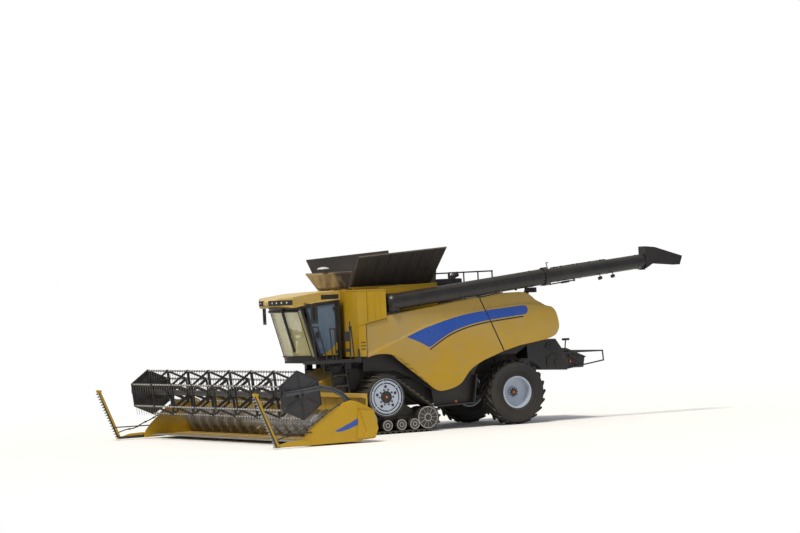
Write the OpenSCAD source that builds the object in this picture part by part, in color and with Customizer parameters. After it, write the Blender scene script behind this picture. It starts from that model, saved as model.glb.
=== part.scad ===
// Combine harvester on front tracks, with a wide grain header and its reel.
// +X is forward, +Y is left, +Z is up, and the ground is at z = 0.
// Every x below is measured from the front drive axle, and vehicle() shifts it once.

/* [Body] */
// Half width over the side panels
body_half = 1600; // [1500:5:1700]
// Thickness of a side panel
panel_t = 40; // [25:5:50]
// Gap between the two side panels of one side
panel_gap = 12; // [8:1:20]
// Radius of the arch edge over the track
arch_r = 1050; // [1000:5:1100]
// Half width of the closed threshing body
core_half = 1300; // [1200:5:1340]
// Underside of the closed body's belly
belly_z = 640; // [600:5:700]
// Thickness of sheet walls
wall_t = 30; // [20:1:40]
// Height of the front yellow block's top
front_top = 3520; // [3450:5:3520]
// Underside of the front yellow block
front_bottom = 1910; // [1880:5:1950]
// Front face of the body behind the cab
front_face = 600; // [580:5:620]

/* [Tank] */
// Outer height of the tank's lip
rim_z = 3530; // [3525:1:3550]
// Thickness of the tank's lip plate
rim_t = 60; // [40:5:70]
// Half width of the tank's lip
rim_half = 900; // [890:5:910]
// Half width of the tank below its lip
bin_half = 1230; // [1150:5:1240]
// Underside of the tank
bin_z = 2300; // [2290:5:2400]
// Height of a folding side cover at its front
cover_front_h = 905; // [880:5:920]
// Height of a folding side cover at its rear
cover_rear_h = 1100; // [1080:5:1120]
// Outward lean of the open side covers, in degrees
cover_lean = 39; // [37:1:40]
// Height of the folding front screen
screen_front_h = 430; // [400:5:450]
// Height of the folding rear screen
screen_rear_h = 650; // [500:10:700]
// Thickness of the covers and screens
cover_t = 28; // [20:1:30]

/* [Tracks and axles] */
// Height of the drive axle
drive_z = 900; // [880:5:920]
// Radius of the drive wheel
drive_r = 490; // [450:5:510]
// Radius of the two idlers
idler_r = 275; // [240:5:290]
// Place of the front idler ahead of the drive axle
front_idler_x = 550; // [545:5:580]
// Place of the rear idler, behind the drive axle
rear_idler_x = -1107; // [-1150:1:-1050]
// Width of the belt
belt_w = 610; // [500:5:640]
// Thickness of the belt without its lugs
belt_t = 25; // [20:1:35]
// Height of the lugs on the belt
lug_h = 45; // [30:1:50]
// Number of lugs around the belt
lug_n = 38; // [20:1:60]
// Radius of the small track rollers
roller_r = 140; // [100:5:150]
// Width over both tracks
machine_w = 3500; // [3450:5:3600]
// Distance from the drive axle to the rear axle
wheelbase = 3770; // [3700:5:3850]

/* [Rear wheels] */
// Outer radius of the tyre
tyre_r = 800; // [760:5:820]
// Width of the tyre
tyre_w = 600; // [480:5:620]
// Radius of the rim at the tyre's bead
rim_r = 400; // [360:5:420]
// Distance between the centres of the rear tyres
rear_track = 2500; // [2400:10:2600]
// Height of the tyre's lugs
tyre_lug_h = 45; // [30:1:55]
// Number of lugs on each half of a tyre
tyre_lug_n = 22; // [12:1:26]
// Distance from the machine's centre to a kingpin
kingpin_y = 790; // [760:5:800]

/* [Cab] */
// Top of the cab floor
cab_floor = 1920; // [1900:5:1940]
// Top of the cab frame, under the roof
cab_top = 3170; // [3150:5:3180]
// Half width of the cab
cab_half = 950; // [900:5:960]
// Rear of the cab
cab_rear = 755; // [740:5:770]
// Radius of the curved windscreen
ws_r = 1300; // [1200:10:1400]
// Forward lean of the windscreen, in degrees
ws_lean = 16; // [14:1:18]
// Reach of the windscreen's middle at the floor
ws_x = 1735; // [1710:5:1760]
// Thickness of the glass
glass_t = 8; // [5:1:10]
// Top of the roof
roof_top = 3530; // [3510:5:3540]
// Front reach of the roof
roof_front = 2295; // [2270:5:2320]

/* [Unloading auger] */
// Radius of the inner tube
tube_r = 200; // [180:5:210]
// Radius of the folding outer tube
outer_r = 178; // [150:2:185]
// Height of the tube's centre line over the swivel
auger_z = 3190; // [3185:5:3250]
// Rise of the tube towards the rear, in degrees
auger_rise = 6; // [5:0.5:8]
// Place of the swivel behind the drive axle
swivel_x = -420; // [-450:5:-400]
// Place of the swivel from the machine's centre
swivel_y = 1480; // [1450:5:1490]
// Outward slant of the stowed tube, in degrees
auger_slant = 2.5; // [1:0.5:4]
// Place of the fold, behind the drive axle
fold_x = -4600; // [-4700:10:-4500]
// Place where the spout begins
spout_x = -7450; // [-7600:10:-7300]
// Length of the spout
spout_len = 1100; // [900:10:1200]

/* [Header] */
// Half of the cutting width
cut_half = 4575; // [4000:5:4600]
// Thickness of an end panel
end_t = 60; // [40:5:80]
// Reach of the cutter bar's fingers
cutter_x = 3470; // [3400:5:3520]
// Height of the cutter bar
cutter_z = 105; // [90:5:140]
// Spacing of the knife fingers
finger_pitch = 76.2; // [70:0.1:152.4]
// Reach of the upright side knives at their tops
knife_x = 4890; // [4700:5:4950]
// Height of the upright side knives
knife_z = 1270; // [1000:5:1300]
// Place of the intake auger
intake_x = 2380; // [2370:5:2450]
// Height of the intake auger
intake_z = 452; // [445:1:480]
// Outer radius of the intake auger's flights
flight_r = 330; // [300:5:335]
// Radius of the intake auger's tube
intake_r = 200; // [150:5:220]
// Pitch of the intake auger's flights
flight_pitch = 560; // [450:10:700]

/* [Reel] */
// Place of the reel's axis
reel_x = 3570; // [3500:5:3600]
// Height of the reel's axis
reel_z = 1180; // [1150:5:1250]
// Radius of the bats from the reel's axis
reel_r = 545; // [500:5:570]
// Number of bats
bat_n = 6; // [4:1:6]
// The angle of the first bat, from straight ahead
reel_phase = 24; // [0:1:59]
// Clearance between the reel's end and the header's end
reel_end_gap = 175; // [155:5:250]
// Length of a tine
tine_len = 240; // [180:5:260]
// Spacing of the tines
tine_pitch = 150; // [100:5:250]

/* [Hidden] */

yellow = [0.84, 0.62, 0.12];
dark = [0.10, 0.10, 0.11];
steel = [0.55, 0.56, 0.58];
rim_blue = [0.72, 0.78, 0.82];

round_n = 64;
small_n = 24;

// The knife tips reach furthest forward and the spout's end furthest back.
auger_dir = [-cos(auger_rise) * cos(auger_slant), cos(auger_rise) * sin(auger_slant), sin(auger_rise)];
swivel = [swivel_x, swivel_y, auger_z];
function on_auger(x) = swivel + auger_dir * ((x - swivel_x) / auger_dir[0]);
fold_p = on_auger(fold_x);
outer_rise = 5.4;
outer_dir = [-cos(outer_rise), 0, sin(outer_rise)];
function on_outer(x) = fold_p + outer_dir * ((x - fold_x) / outer_dir[0]);
spout_p = on_outer(spout_x);
rear_end = spout_x - spout_len;
axle_x = -(knife_x + rear_end) / 2;

belt_grow = belt_t + lug_h;
idler_z = idler_r + belt_grow;
belt_y1 = machine_w / 2;
belt_y0 = belt_y1 - belt_w;
roller_xs = [0, -380, -740];
wheel_play = 0.8;
rail_y0 = 1052;
rail_y1 = 1102;
rail_z0 = 1110;
rear_x = -wheelbase;
tyre_y = rear_track / 2;

// The long hinge line at the top of the side panels
hinge_x = -200;
hinge_z = 2862;
hinge_rise = 7.4;
hinge_y = body_half - panel_t / 2;
function hinge_at(x) = hinge_z + (hinge_x - x) * tan(hinge_rise);

cover_hinge_z = rim_z + 80;
screen_hinge_z = rim_z + 35;
hinge_r = 12;
seat_gap = 0.3;
curb_t = 30;
screen_front_x = 465;
screen_rear_x = -1960;
screen_lean = [14, -6];

feeder_half = 725;
feeder_pivot = [700, 0, 1500];
feeder_front = 1900;
pin_r = 40;
pin_play = 0.05;
lift_y = 560;
lift_base = [300, lift_y, 620];
lift_eye = [1640, lift_y, 400];
arm_pivot = [intake_x, 0, 970];
reel_half = cut_half - reel_end_gap;
arm_y0 = reel_half + 75;
arm_t = 60;
end_y0 = cut_half + 25;

door_hinge = [cab_rear + 85, cab_half, 0];

module vehicle() {
    translate([axle_x, 0, 0]) children();
}

module both() {
    children();
    mirror([0, 1, 0]) children();
}

// A block between two opposite corners
module block(low, high) {
    translate(low) cube(high - low);
}

// A round bar between two points
module rod(p, q, r) {
    d = q - p;
    span = norm(d);
    translate(p)
        rotate([0, acos(d[2] / span), atan2(d[1], d[0])])
            cylinder(h = span, r = r, $fn = small_n);
}

// A side-view outline in x and z, made solid from y0 to y1
module slab(y0, y1) {
    translate([0, y1, 0]) rotate([90, 0, 0]) linear_extrude(y1 - y0) children();
}

// A round bar across the machine from y0 to y1
module shaft(x, z, y0, y1, r) {
    translate([x, y1, z]) rotate([90, 0, 0]) cylinder(h = y1 - y0, r = r, $fn = round_n);
}

function arc(cx, cz, r, a0, a1, n) =
    [for (i = [0:n]) let (a = a0 + (a1 - a0) * i / n) [cx + r * cos(a), cz + r * sin(a)]];

// The track loop, as three circles and the straight runs between them

wheels_xz = [[0, drive_z, drive_r], [rear_idler_x, idler_z, idler_r], [front_idler_x, idler_z, idler_r]];

// Outward direction of the straight run from circle a to circle b, going anticlockwise
function run_angle(a, b) =
    let (d = [b[0] - a[0], b[1] - a[1]], l = norm(d))
    atan2(d[1], d[0]) - 90 + asin((a[2] - b[2]) / l);
function at(c, grow, angle) = [c[0] + (c[2] + grow) * cos(angle), c[1] + (c[2] + grow) * sin(angle)];

run_angles = [for (i = [0:2]) run_angle(wheels_xz[i], wheels_xz[(i + 1) % 3])];
function turn_of(i) =
    let (t = run_angles[(i + 1) % 3] - run_angles[i]) t < 0 ? t + 360 : t;

// One closed outline: the arc round each circle, with the straight runs between the arcs
module loop_outline(grow) polygon([for (i = [0:2])
    let (n = round(turn_of(i) * round_n / 360))
    for (k = [0:n]) at(wheels_xz[(i + 1) % 3], grow, run_angles[i] + turn_of(i) * k / n)]);

// Lengths of the three straight runs and of the three arcs that follow them
run_lens = [for (i = [0:2])
    norm(at(wheels_xz[(i + 1) % 3], belt_t, run_angles[i]) - at(wheels_xz[i], belt_t, run_angles[i]))];
arc_lens = [for (i = [0:2]) (wheels_xz[(i + 1) % 3][2] + belt_t) * turn_of(i) * PI / 180];
loop_len = run_lens[0] + run_lens[1] + run_lens[2] + arc_lens[0] + arc_lens[1] + arc_lens[2];

// The point and outward angle at a distance s along the belt, starting with run i
function on_loop(s, i = 0) =
    s <= run_lens[i] ?
        let (p = at(wheels_xz[i], belt_t, run_angles[i]), q = at(wheels_xz[(i + 1) % 3], belt_t, run_angles[i]))
        concat(p + (q - p) * (s / run_lens[i]), [run_angles[i]])
    : s <= run_lens[i] + arc_lens[i] ?
        let (c = wheels_xz[(i + 1) % 3], a = run_angles[i] + turn_of(i) * (s - run_lens[i]) / arc_lens[i])
        concat(at(c, belt_t, a), [a])
    : on_loop(s - run_lens[i] - arc_lens[i], (i + 1) % 3);

lug_root = 80;
lug_tip = 50;

module track_belts() color(dark) vehicle() both() slab(belt_y0, belt_y1) {
    difference() {
        loop_outline(belt_t);
        loop_outline(0);
    }
    for (k = [0:lug_n - 1]) {
        p = on_loop(loop_len * (k + 0.5) / lug_n);
        translate([p[0], p[1]]) rotate(p[2])
            polygon([[-8, -lug_root / 2], [lug_h, -lug_tip / 2], [lug_h, lug_tip / 2], [-8, lug_root / 2]]);
    }
}

module drive_wheels() color(rim_blue) vehicle() both() difference() {
    shaft(0, drive_z, belt_y0, belt_y1 - 10, drive_r - wheel_play);
    difference() {
        shaft(0, drive_z, belt_y1 - 300, belt_y1, drive_r - 80);
        shaft(0, drive_z, belt_y1 - 300, belt_y1 - 170, 150);
    }
    difference() {
        shaft(0, drive_z, belt_y0 - 1, belt_y0 + 200, drive_r - 60);
        shaft(0, drive_z, belt_y0 - 1, belt_y0 + 200, 220);
    }
}

beam_y0 = belt_y0 + belt_w / 2 - 50;
beam_y1 = beam_y0 + 100;

module roller_pair(x, z, r) {
    for (side = [[belt_y0 + 10, beam_y0 - 10, beam_y0], [beam_y1 + 10, belt_y1 - 10, beam_y1]]) {
        shaft(x, z, side[0], side[1], r - wheel_play);
        shaft(x, z, min(side[2], side[1]), max(side[2], side[0]), r * 0.35);
    }
}

module track_rollers() color(dark) vehicle() both() {
    roller_pair(front_idler_x, idler_z, idler_r);
    roller_pair(rear_idler_x, idler_z, idler_r);
    for (x = roller_xs) roller_pair(x, belt_grow + roller_r, roller_r);
}

cross_rods = [160, -560];
cross_z = 380;
cross_r = 25;

module track_frames() color(yellow) vehicle() both() {
    slab(beam_y0, beam_y1)
        polygon([
            [front_idler_x + 60, idler_z + 55], [front_idler_x + 60, idler_z - 55], [0, 150],
            [roller_xs[2], 150], [rear_idler_x - 60, idler_z - 55], [rear_idler_x - 60, idler_z + 55]
        ]);
    for (x = cross_rods) shaft(x, cross_z - 20, belt_y0 - 20, beam_y0 + 1, cross_r);
    difference() {
        slab(belt_y0 - 60, belt_y0 - 10)
            polygon([[-230, drive_z + 180], [230, drive_z + 180], [300, 300], [-700, 300]]);
        shaft(0, drive_z, belt_y0 - 61, belt_y0, axle_r + wheel_play);
    }
}

axle_r = 150;
clevis_half = 70;
clevis_slot = 45;
lift_pin_r = 20;

module front_axle() color(dark) vehicle() {
    shaft(0, drive_z, -belt_y0, belt_y0, axle_r);
    block([-220, -450, drive_z - 230], [220, 450, drive_z + 230]);
    both() {
        block([-110, rail_y0, drive_z], [110, rail_y1 - 25, rail_z0]);
        difference() {
            slab(lift_y - clevis_half, lift_y + clevis_half) polygon([
                [0, drive_z - 30], [110, lift_base[2] - 60], [lift_base[0] + 60, lift_base[2] - 60],
                [lift_base[0] + 60, lift_base[2] + 60], [130, drive_z - 30]
            ]);
            slab(lift_y - clevis_slot, lift_y + clevis_slot) translate([lift_base[0] - 75, lift_base[2] - 100])
                square([200, 250]);
        }
        shaft(lift_base[0], lift_base[2], lift_y - clevis_slot - 1, lift_y + clevis_slot + 1, lift_pin_r);
    }
}

cross_x0 = -2720;
cross_x1 = -2605;
rear_rail_y0 = 350;
rear_rail_y1 = 450;
rear_rail_z0 = 1230;
rear_rail_z1 = 1430;
rear_rail_x = -4350;
core_z = 1750;

module chassis_frame() color(dark) vehicle() {
    both() {
        block([cross_x0, rail_y0, rail_z0], [500, rail_y1, rail_z0 + 190]);
        difference() {
            union() {
                block([400, rail_y0, rail_z0], [800, rail_y1, 1620]);
                block([620, feeder_half + 20, 1420], [790, rail_y0 + 1, 1580]);
            }
            shaft(feeder_pivot[0], feeder_pivot[2], feeder_half, rail_y1 + 1, pin_r);
        }
        block([rear_rail_x, rear_rail_y0, rear_rail_z0], [cross_x1, rear_rail_y1, rear_rail_z1]);
        for (x = [-3850, -3300]) block([x, rear_rail_y0, rear_rail_z1 - 1], [x + 120, rear_rail_y1, core_z]);
    }
    block([cross_x0, -rail_y1, rail_z0], [cross_x1, rail_y1, rear_rail_z1]);
}

module threshing_body() color([0.16, 0.15, 0.14]) vehicle() {
    slab(-core_half, core_half) polygon([
        [500, core_z], [500, bin_z - 10], [-1830, bin_z - 10], [-1830, 2540], [-4200, 2540],
        [-4300, 2000], [-3900, core_z]
    ]);
    slab(-rail_y0, rail_y0) polygon([
        [380, core_z + 1], [380, 1210], [-350, 1210], [-600, belly_z], [-2500, belly_z], [-2600, 900],
        [-2600, core_z + 1]
    ]);
}

module front_body() color(yellow) vehicle() {
    block([front_face - 50, -body_half, front_bottom], [front_face, body_half, front_top]);
    both() {
        slab(bin_half, body_half) polygon([
            [-180, front_top], [front_face - 49, front_top], [front_face - 49, 2702], [392, 2702], [-180, 2811]
        ]);
        block([392, body_half - panel_t, front_bottom], [front_face - 49, body_half, 2703]);
        block([392, core_half, 1960], [front_face - 49, body_half - panel_t + 1, 2010]);
    }
}

bin_x0 = -1790;
bin_x1 = 545;
cover_lugs = [-1500, -680, 140];
leaf_x = 390;
screen_lugs = [-700, 0, 700];

// The ledge between the tank and the side panels, along the panels' hinge line
module ledge() both() difference() {
    slab(bin_half - 1, hinge_y - hinge_r - seat_gap) polygon([
        [-185, hinge_at(-185) - 5], [-2700, hinge_at(-2700) - 5],
        [-2700, hinge_at(-2700) + 10], [-185, hinge_at(-185) + 10]
    ]);
    block([-2800, bin_half - 50, 2900], [-1990, 1290 + seat_gap, 3500]);
}

module tank_bin() color(yellow) vehicle() {
    difference() {
        union() {
            block([bin_x0, -bin_half, bin_z], [bin_x1, bin_half, rim_z]);
            block([-2010, -rim_half, rim_z - rim_t], [bin_x0 + 1, rim_half, rim_z]);
            both() {
                block([bin_x0, rim_half - curb_t, rim_z - 1], [leaf_x, rim_half, cover_hinge_z - cover_t - 7]);
                for (x = cover_lugs)
                    block([x - 60, rim_half + 3, rim_z - 1], [x + 60, rim_half + 28, cover_hinge_z - hinge_r - seat_gap]);
                slab(bin_half - 1, bin_half + 14) polygon([
                    [-182, rim_z - 130], [-182, rim_z + 28], [bin_x0, rim_z + 85], [bin_x0, rim_z - 130]
                ]);
            }
            for (side = [[screen_front_x, 1], [screen_rear_x, -1]], y = screen_lugs)
                translate([side[0], y, rim_z]) scale([side[1], 1, 1])
                    translate([3, -60, 0]) cube([40, 120, screen_hinge_z - rim_z - hinge_r - seat_gap]);
            ledge();
        }
        slab(-bin_half + wall_t, bin_half - wall_t) polygon([
            [bin_x1 - wall_t, rim_z - rim_t], [bin_x1 - wall_t, 2900], [-200, bin_z + wall_t],
            [-900, bin_z + wall_t], [bin_x0 + wall_t, 2900], [bin_x0 + wall_t, rim_z - rim_t]
        ]);
        block([bin_x0 + wall_t, curb_t - rim_half, rim_z - rim_t - 1], [leaf_x, rim_half - curb_t, rim_z + 200]);
    }
}

module engine() color(steel) vehicle() {
    block([-3300, -450, 2540], [-2100, 450, 3060]);
}

module engine_deck() color(dark) vehicle() {
    slab(-1290, 1290) polygon([
        [-2005, 3120], [-3900, 3240], [-4150, 3170], [-4150, 2700], [-4110, 2700], [-4110, 3130],
        [-3890, 3195], [-2045, 3078], [-2045, 2540], [-2005, 2540]
    ]);
    both() {
        for (x = [-2200, -2600, -3000, -3400])
            rod([x, 1150, 3100 - (x + 2005) * 0.063], [x, 1150, 3850], 18);
        rod([-2182, 1150, 3832], [-3418, 1150, 3832], 18);
        rod([-2182, 1150, 3500], [-3418, 1150, 3500], 14);
    }
    block([-3000, -1000, 3130], [-2100, 300, 3680]);
    both() {
        slab(1289, hinge_y - 25) polygon([
            [-2702, 3130], [-3450, 3170], [-3450, hinge_at(-3450) + 10], [-2702, hinge_at(-2702) + 10]
        ]);
        slab(hinge_y - 26, hinge_y - hinge_r - seat_gap) polygon([
            [-2702, hinge_at(-2702) - 5], [-3450, hinge_at(-3450) - 5], [-3450, hinge_at(-3450) + 10],
            [-2702, hinge_at(-2702) + 10]
        ]);
    }
}

hood_x = -4150;
hood_half = body_half - panel_t - 15;
hood_top_half = hood_half - 345;
hood_wall = 42;

module hood_form() hull() {
    slab(-hood_top_half, hood_top_half) polygon([
        [hood_x, 3200], [-4650, 2985], [-5050, 2740], [-5200, 2400], [-5100, 2170], [hood_x, 2170]
    ]);
    slab(-hood_half, hood_half) polygon([
        [hood_x, 3190], [-4440, 2950], [-4700, 2890], [-4910, 2720], [-4975, 2400], [-4900, 2200], [hood_x, 2200]
    ]);
}

module tail_hood() color(yellow) vehicle() difference() {
    hood_form();
    hull() {
        slab(-hood_top_half + hood_wall, hood_top_half - hood_wall) polygon([
            [hood_x + 10, 3150], [-4640, 2940], [-5010, 2710], [-5155, 2400], [-5050, 2100], [hood_x + 10, 2100]
        ]);
        slab(-hood_half + hood_wall, hood_half - hood_wall) polygon([
            [hood_x + 10, 3145], [-4430, 2905], [-4680, 2850], [-4870, 2700], [-4930, 2400], [-4870, 2100],
            [hood_x + 10, 2100]
        ]);
    }
}

liner_t = 20;

module skirt_plates() color(dark) vehicle() both() {
    slab(core_half, core_half + 20) polygon([
        [385, 1950], [385, 1540], [200, 1540], [-470, 1515], [-930, 1310], [-1450, 1000], [-1520, 570],
        [-2560, 600], [-2680, 1360], [-2900, 1700], [-3000, 1950]
    ]);
    slab(core_half + 19, body_half - panel_t - 8) polygon(concat(
        arc(0, drive_z, arch_r + liner_t, 80, 138, 12), arc(0, drive_z, arch_r, 138, 80, 12)
    ));
    slab(core_half + 19, 1500) polygon([
        [-1520, 570], [-2560, 600], [-2660, 1300], [-2630, 1300], [-2535, 625], [-1545, 595]
    ]);
}

// Steered rear wheels

module rear_axle() color(dark) vehicle() {
    block([rear_x - 100, -kingpin_y + 75, tyre_r - 90], [rear_x + 100, kingpin_y - 75, tyre_r + 90]);
    block([rear_x - 130, -200, tyre_r + 89], [rear_x + 130, 200, rear_rail_z0]);
    block([rear_x - 130, -rear_rail_y1, rear_rail_z0 - 60], [rear_x + 130, rear_rail_y1, rear_rail_z0]);
    both() for (z = [tyre_r - 90, tyre_r + 50]) difference() {
        union() {
            block([rear_x - 60, kingpin_y - 90, z], [rear_x + 60, kingpin_y, z + 40]);
            translate([rear_x, kingpin_y, z]) cylinder(h = 40, r = 60, $fn = round_n);
        }
        translate([rear_x, kingpin_y, z - 1]) cylinder(h = 42, r = 25, $fn = round_n);
    }
}

module knuckle() {
    translate([rear_x, kingpin_y, tyre_r - 110]) cylinder(h = 220, r = 25 - pin_play, $fn = round_n);
    translate([rear_x, kingpin_y, tyre_r - 44]) cylinder(h = 88, r = 58, $fn = round_n);
    shaft(rear_x, tyre_r, kingpin_y, tyre_y - 41, 45);
}

module knuckle_left() color(steel) vehicle() knuckle();
module knuckle_right() color(steel) vehicle() mirror([0, 1, 0]) knuckle();

shoulder_r = tyre_r - tyre_lug_h;

module tyre_body() {
    translate([rear_x, tyre_y, tyre_r]) rotate([90, 0, 0]) {
        rotate_extrude($fn = round_n * 2) polygon([
            [rim_r, -tyre_w / 2 + 60], [rim_r + 130, -tyre_w / 2 + 5], [shoulder_r - 110, -tyre_w / 2],
            [shoulder_r - 20, -tyre_w / 2 + 40], [shoulder_r, -tyre_w / 2 + 110],
            [shoulder_r, tyre_w / 2 - 110], [shoulder_r - 20, tyre_w / 2 - 40],
            [shoulder_r - 110, tyre_w / 2], [rim_r + 130, tyre_w / 2 - 5], [rim_r, tyre_w / 2 - 60]
        ]);
        intersection() {
            for (side = [-1, 1], k = [0:tyre_lug_n - 1])
                rotate([0, 0, 360 * (k + (side > 0 ? 0.5 : 0)) / tyre_lug_n])
                    translate([shoulder_r - 25, 0, side * 12])
                        rotate([side * 45, 0, 0])
                            translate([0, -22, side > 0 ? 0 : -330]) cube([tyre_lug_h + 60, 44, 330]);
            translate([0, 0, -tyre_w / 2 + 25]) cylinder(h = tyre_w - 50, r = tyre_r, $fn = round_n * 2);
        }
    }
}

module rim_body() {
    translate([rear_x, tyre_y, tyre_r]) rotate([90, 0, 0]) {
        rotate_extrude($fn = round_n * 2) polygon([
            [rim_r - 1, tyre_w / 2 - 60], [rim_r - 1, -tyre_w / 2 + 60], [rim_r - 40, -tyre_w / 2 + 60],
            [rim_r - 40, -30], [120, 10], [120, 40], [rim_r - 90, 0], [rim_r - 40, 40], [rim_r - 40, tyre_w / 2 - 60]
        ]);
        difference() {
            translate([0, 0, -40]) cylinder(h = 130, r = 121, $fn = round_n);
            translate([0, 0, 20]) cylinder(h = 80, r = 45 + pin_play, $fn = round_n);
        }
    }
}

module tyre_left() color(dark) vehicle() tyre_body();
module tyre_right() color(dark) vehicle() mirror([0, 1, 0]) tyre_body();
module rim_left() color(rim_blue) vehicle() rim_body();
module rim_right() color(rim_blue) vehicle() mirror([0, 1, 0]) rim_body();

// The rear of the machine

vane_n = 9;
vane_t = 12;
chopper_half = 1100;
guard_y = chopper_half - 30;
guard_r = 18;

module chopper() color(dark) vehicle() {
    slab(-chopper_half, chopper_half) polygon([
        [-4320, 1990], [-4330, 1610], [-4480, 1510], [-4610, 1425], [-4750, 1295], [-5450, 1260],
        [-5500, 1480], [-5330, 1800], [-5150, 2060]
    ]);
    for (k = [0:vane_n - 1]) {
        y = -1000 + 2000 * k / (vane_n - 1);
        slab(y - vane_t / 2, y + vane_t / 2) polygon([
            [-5440, 1500], [-5440, 1720], [-5490, 1780], [-5560, 1760], [-6030, 1562], [-5980, 1300], [-5600, 1300]
        ]);
    }
    slab(-1030, 1030) polygon([
        [-5310, 1660], [-5490, 1810], [-6050, 1570], [-6050, 1545], [-5490, 1785]
    ]);
    both() {
        rod([-5250, guard_y, 1700], [-6520, guard_y, 1690], guard_r);
        rod([-6520, guard_y, 1710], [-6540, guard_y, 1430], guard_r);
        rod([-6540, guard_y, 1448], [-5400, guard_y, 1285], guard_r);
    }
    shaft(-6520, 1690, -guard_y, guard_y, guard_r);
    block([-4385, -460, rear_rail_z1], [rear_rail_x + 45, 460, 1900]);
}

hitch_x = -5060;
hitch_bore_r = 20;

module hitch() color(steel) vehicle() {
    block([-5000, -rear_rail_y1, 1010], [-4900, rear_rail_y1, rear_rail_z0]);
    both() block([-4901, rear_rail_y0, 1080], [rear_x - 180, rear_rail_y1, rear_rail_z0]);
    for (z = [1040, 1130]) difference() {
        block([hitch_x - 60, -60, z], [-4999, 60, z + 30]);
        translate([hitch_x, 0, z - 1]) cylinder(h = 32, r = hitch_bore_r, $fn = round_n);
    }
}

// Cab

module ws_solid(inset) {
    translate([ws_x, 0, cab_floor]) rotate([0, ws_lean, 0]) translate([-ws_r, 0, -700])
        cylinder(h = 2400, r = ws_r - inset, $fn = 96);
}

module ws_band(inset, thick, z0, z1, half) {
    intersection() {
        difference() {
            ws_solid(inset);
            ws_solid(inset + thick);
        }
        block([cab_rear + 400, -half, z0], [3000, half, z1]);
    }
}

function ws_edge(z, y) = ws_x + (z - cab_floor) * tan(ws_lean)
    - ws_r / cos(ws_lean) * (1 - sqrt(1 - pow(y / ws_r, 2)));
pillar_y = cab_half - 90;
pillar_r = 35;
door_z0 = cab_floor + 45;
door_x = door_hinge[0] + 15;
function pillar_x(z) = ws_edge(z, pillar_y);

// The roof's underside climbs from its brow to the rear in two straight runs.
brow_x = 1930;
knee = [1430, cab_top + 85];
rear_rise = 140;
function under_roof(x) = x > brow_x ? cab_top
    : x > knee[0] ? cab_top + (brow_x - x) * (knee[1] - cab_top) / (brow_x - knee[0])
    : knee[1] + (knee[0] - x) * (cab_top + rear_rise - knee[1]) / (knee[0] - cab_rear);
function roof_run(x0, x1, drop) = [for (p = [[x0, under_roof(x0)], knee, [x1, under_roof(x1)]]) [p[0], p[1] - drop]];
function roof_run_back(x0, x1, drop) = [for (p = [2, 1, 0]) roof_run(x0, x1, drop)[p]];

module cab_floor_slab() block([cab_rear, -cab_half, cab_floor - 60], [1350, cab_half, cab_floor]);

module cab_shell() color(yellow) vehicle() intersection() {
    union() {
        intersection() {
            union() {
                cab_floor_slab();
                block([1349, -pillar_y - pillar_r, cab_floor - 60], [2200, pillar_y + pillar_r, cab_floor]);
            }
            union() {
                ws_solid(0);
                cab_floor_slab();
            }
        }
        ws_band(0, 60, cab_floor - 1, cab_floor + 40, pillar_y + 20);
        ws_band(0, 60, cab_top - 75, cab_top + 60, pillar_y + 20);
        block([cab_rear, -cab_half, cab_floor - 1], [cab_rear + 40, cab_half, cab_top + 300]);
        both() {
            for (x = [840, 1280]) translate([x, 800, cab_floor - 70]) cylinder(h = 11, r = 60, $fn = small_n);
            block([cab_rear + 39, cab_half - 60, cab_floor - 1], [cab_rear + 75, cab_half, cab_top + 300]);
            slab(cab_half - 60, cab_half) polygon(concat(
                roof_run(cab_rear + 39, pillar_x(cab_top) - 10, 40),
                roof_run_back(cab_rear + 39, pillar_x(cab_top) - 10, -50)
            ));
            rod([pillar_x(cab_floor - 30), pillar_y, cab_floor - 30],
                [pillar_x(cab_top + 60), pillar_y, cab_top + 60], pillar_r);
            block([pillar_x(cab_top) - 60, pillar_y - 20, cab_top - 30],
                [pillar_x(cab_top), cab_half, cab_top + 60]);
        }
    }
    slab(-1100, 1100) polygon([
        [600, 1000], [2600, 1000], [2600, cab_top - seat_gap], [brow_x, cab_top - seat_gap],
        [knee[0], knee[1] - seat_gap], [600, under_roof(600) - seat_gap]
    ]);
}

roof_r = 1700;

lamp_y = [330, 490, 650, 800];
lamp_r = 36;
lamp_z = cab_top + 130;
function lamp_x(y) = roof_front - roof_r + sqrt(roof_r * roof_r - y * y) - 70;

module cab_roof() color(yellow) vehicle() difference() {
    intersection() {
        translate([0, 0, cab_top]) linear_extrude(roof_top - cab_top) {
            translate([cab_rear - 10, -cab_half]) square([1230, cab_half * 2]);
            intersection() {
                translate([roof_front - roof_r, 0]) circle(r = roof_r, $fn = 96);
                translate([1960, -cab_half]) square([700, cab_half * 2]);
            }
        }
        slab(-cab_half, cab_half) polygon([
            [cab_rear - 20, under_roof(cab_rear - 20)], knee, [brow_x, cab_top], [2010, cab_top],
            [roof_front, cab_top + 90], [roof_front - 10, cab_top + 160], [2190, cab_top + 227],
            [1920, roof_top - 95], [1344, roof_top - 24], [cab_rear - 20, roof_top]
        ]);
    }
    both() for (y = lamp_y)
        translate([lamp_x(y), y, lamp_z]) rotate([0, 90, 0]) cylinder(h = 200, r = lamp_r, $fn = small_n);
}

module cab_glass() color([0.75, 0.8, 0.6, 0.4]) vehicle() {
    ws_band(20, glass_t, cab_floor + 40, cab_top - 75, pillar_y - pillar_r - 2);
    translate([0, -cab_half - 17 + 60 - glass_t, 0]) slab(0, glass_t) polygon(concat(
        [[cab_rear + 75, door_z0 - 5], [pillar_x(door_z0) - 40, door_z0 - 5]],
        roof_run_back(cab_rear + 75, pillar_x(cab_top) - 62, 40)
    ));
}

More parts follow.
